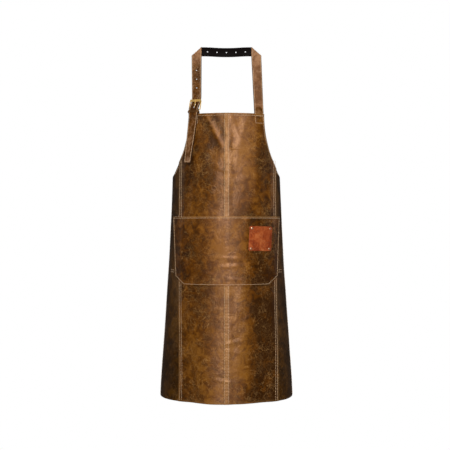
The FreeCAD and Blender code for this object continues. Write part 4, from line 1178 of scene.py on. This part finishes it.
keeper_leather = leather_finish(
    "keeper_leather", (0.075, 0.030, 0.006), (0.165, 0.072, 0.020), (0.26, 0.135, 0.055), (0.40, 0.24, 0.13),
    cloud_scale=30.0, crumple=0.0004)
keeper = strap_layer(
    "neck_keeper_loop", keeper_rows(
        lambda u, v, w: in_buckle(u, v, -0.0071 + w),
        width=0.0298, front=-0.0080, back=0.0024, thickness=0.0014, band=0.006),
    -0.0007, 0.0007, [keeper_leather, strap_edge], closed=True)
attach(keeper, "apron")
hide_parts("neck_keeper")
brass = metal_finish("buckle_brass", (0.95, 0.63, 0.20), (0.70, 0.40, 0.10), 0.34, 0.5)
for node in ("neck_buckle_frame", "neck_buckle_prong", "waist_buckle_frame", "waist_buckle_prong"):
    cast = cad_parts[node]
    cast.data.materials.clear()
    cast.data.materials.append(brass)


# ---- Waist strap --------------------------------------------------------------------------------
# A narrow strap sewn inside each side panel and buckled across the small of the back, with the
# same brass frame and prong, a sliding keeper and a free tail that lifts.

WAIST_HEIGHT = -0.625
WAIST_WIDTH = 0.016
WAIST_THICK = 0.0025
WAIST_BACK = 0.1340474
WAIST_HEEL = -0.010
WAIST_FLAT = 0.100
WAIST_MIDDLE = 0.0490474
WAIST_BEND = 0.0023
WAIST_DROP = TOP - WAIST_HEIGHT
WAIST_HALF, WAIST_DEPTH, WAIST_CENTRE = (float(v) for v in girth(WAIST_DROP))


def waist_rows(path):
    """Rows of waist strap: its upper and lower edge at each (x, y) of its middle line."""
    upper = WAIST_HEIGHT + WAIST_WIDTH / 2
    return np.array([((x, y, upper), (x, y, upper - WAIST_WIDTH)) for x, y in path])


def waist_side(side, depth):
    """From the tab sewn inside a side panel, round to the straight run at the back."""
    path = []
    half = WAIST_HALF - LEATHER
    for y in np.linspace(0.019, 0.044, 6):
        turn = side * np.arccos((WAIST_CENTRE - y) / WAIST_DEPTH)
        inside = on_apron(turn, WAIST_DROP, -LEATHER - WAIST_THICK / 2)[0]
        path.append((inside[0], inside[1]))
    for turn in np.linspace(0.04, 0.5 * math.pi, 26):
        reach = half - WAIST_FLAT - WAIST_THICK / 2
        deep = WAIST_BACK - depth - WAIST_THICK / 2 - WAIST_MIDDLE
        path.append((side * (WAIST_FLAT + reach * math.cos(turn)), WAIST_MIDDLE + deep * math.sin(turn)))
    return path


WAIST_PATH = [(0.110, 0.0016), (0.0176, 0.0016), (0.0034, -0.0063), (-0.0436, -0.0063)]
waist_along = np.linspace(0.104, -0.034, 110)
waist_depth = smoothed(np.interp(-waist_along, [-a for a, _ in WAIST_PATH], [b for _, b in WAIST_PATH]), 6)
right_path = waist_side(1, 0.0016) + [
    (WAIST_HEEL + a, WAIST_BACK - d - WAIST_THICK / 2) for a, d in zip(waist_along, waist_depth)]
left_path = waist_side(-1, -0.00125) + [(x, WAIST_BACK) for x in np.linspace(-0.094, WAIST_HEEL - 0.010, 40)]
left_path += [(WAIST_HEEL - 0.0066, WAIST_BACK + 0.0006)]
left_path += [(WAIST_HEEL - WAIST_BEND * math.cos(a), WAIST_BACK + WAIST_BEND * math.sin(a))
              for a in np.linspace(0.6, 2 * math.pi - 0.6, 18)]
left_path += [(WAIST_HEEL - 0.0066, WAIST_BACK - 0.0022)]
left_path += [(x, WAIST_BACK - 0.0026) for x in np.linspace(WAIST_HEEL - 0.009, WAIST_HEEL - 0.0210, 6)]
waist_leather = leather_finish(
    "waist_leather", (0.030, 0.013, 0.003), (0.070, 0.032, 0.008), (0.135, 0.070, 0.022), (0.30, 0.17, 0.08),
    cloud_scale=11.0, shift=(0.1, 0.5, 0.8), crumple=0.0006)
right_run = strap_layer(
    "waist_strap_right_run", smoothed(waist_rows(right_path), 2), -WAIST_THICK / 2, WAIST_THICK / 2,
    [waist_leather, strap_edge])
left_run = strap_layer(
    "waist_strap_left_run", waist_rows(left_path), -WAIST_THICK / 2 + 0.0002, WAIST_THICK / 2 - 0.0002,
    [waist_leather, strap_edge])
waist_holes = [
    (np.array([WAIST_HEEL + 0.020 * (1.9 + i), WAIST_BACK, WAIST_HEIGHT]), REARWARD, SIDEWAYS, 0.0017, 0.0017)
    for i in range(4)]
prong_slot = np.array([WAIST_HEEL + 0.0095, WAIST_BACK, WAIST_HEIGHT])
waist_holes.append((prong_slot, REARWARD, SIDEWAYS, 0.0052, 0.0017))
heel_slot = np.array([WAIST_HEEL, WAIST_BACK, WAIST_HEIGHT])
punch([right_run], waist_holes)
punch([left_run], [(heel_slot, REARWARD, SIDEWAYS, 0.0048, 0.0018)])
tail_along = np.linspace(WAIST_HEEL - 0.034, WAIST_HEEL - 0.098, 34)
tail_path = [(x, WAIST_BACK + 0.0063 - WAIST_THICK / 2) for x in tail_along]
waist_tail = strap_layer(
    "waist_strap_tail", waist_rows(tail_path), -WAIST_THICK / 2, WAIST_THICK / 2, [waist_leather, strap_edge])
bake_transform(waist_tail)
for piece, node in ((right_run, "waist_strap_right"), (left_run, "waist_strap_left")):
    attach(piece, "apron")
    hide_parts(node)
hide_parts("waist_tail")
waist_keeper = strap_layer(
    "waist_keeper_loop", keeper_rows(
        lambda u, v, w: np.array([WAIST_HEEL - 0.032 + w, WAIST_BACK - v, WAIST_HEIGHT + u]),
        width=0.0168, front=-0.0067, back=0.00165, thickness=0.0014, band=0.008),
    -0.0007, 0.0007, [waist_leather, strap_edge], closed=True)
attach(waist_keeper, "waist_keeper")
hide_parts("waist_keeper")
for side, hand in HANDS:
    for drop in (0.4468, 0.4532):
        tab_x = side * np.linspace(0.150, 0.1605, 20)
        stitches(f"{hand}_waist_tab_row_{round(drop * 10000)}", *on_apron(turn_at(tab_x, drop), drop),
                 "apron", "side_leather")
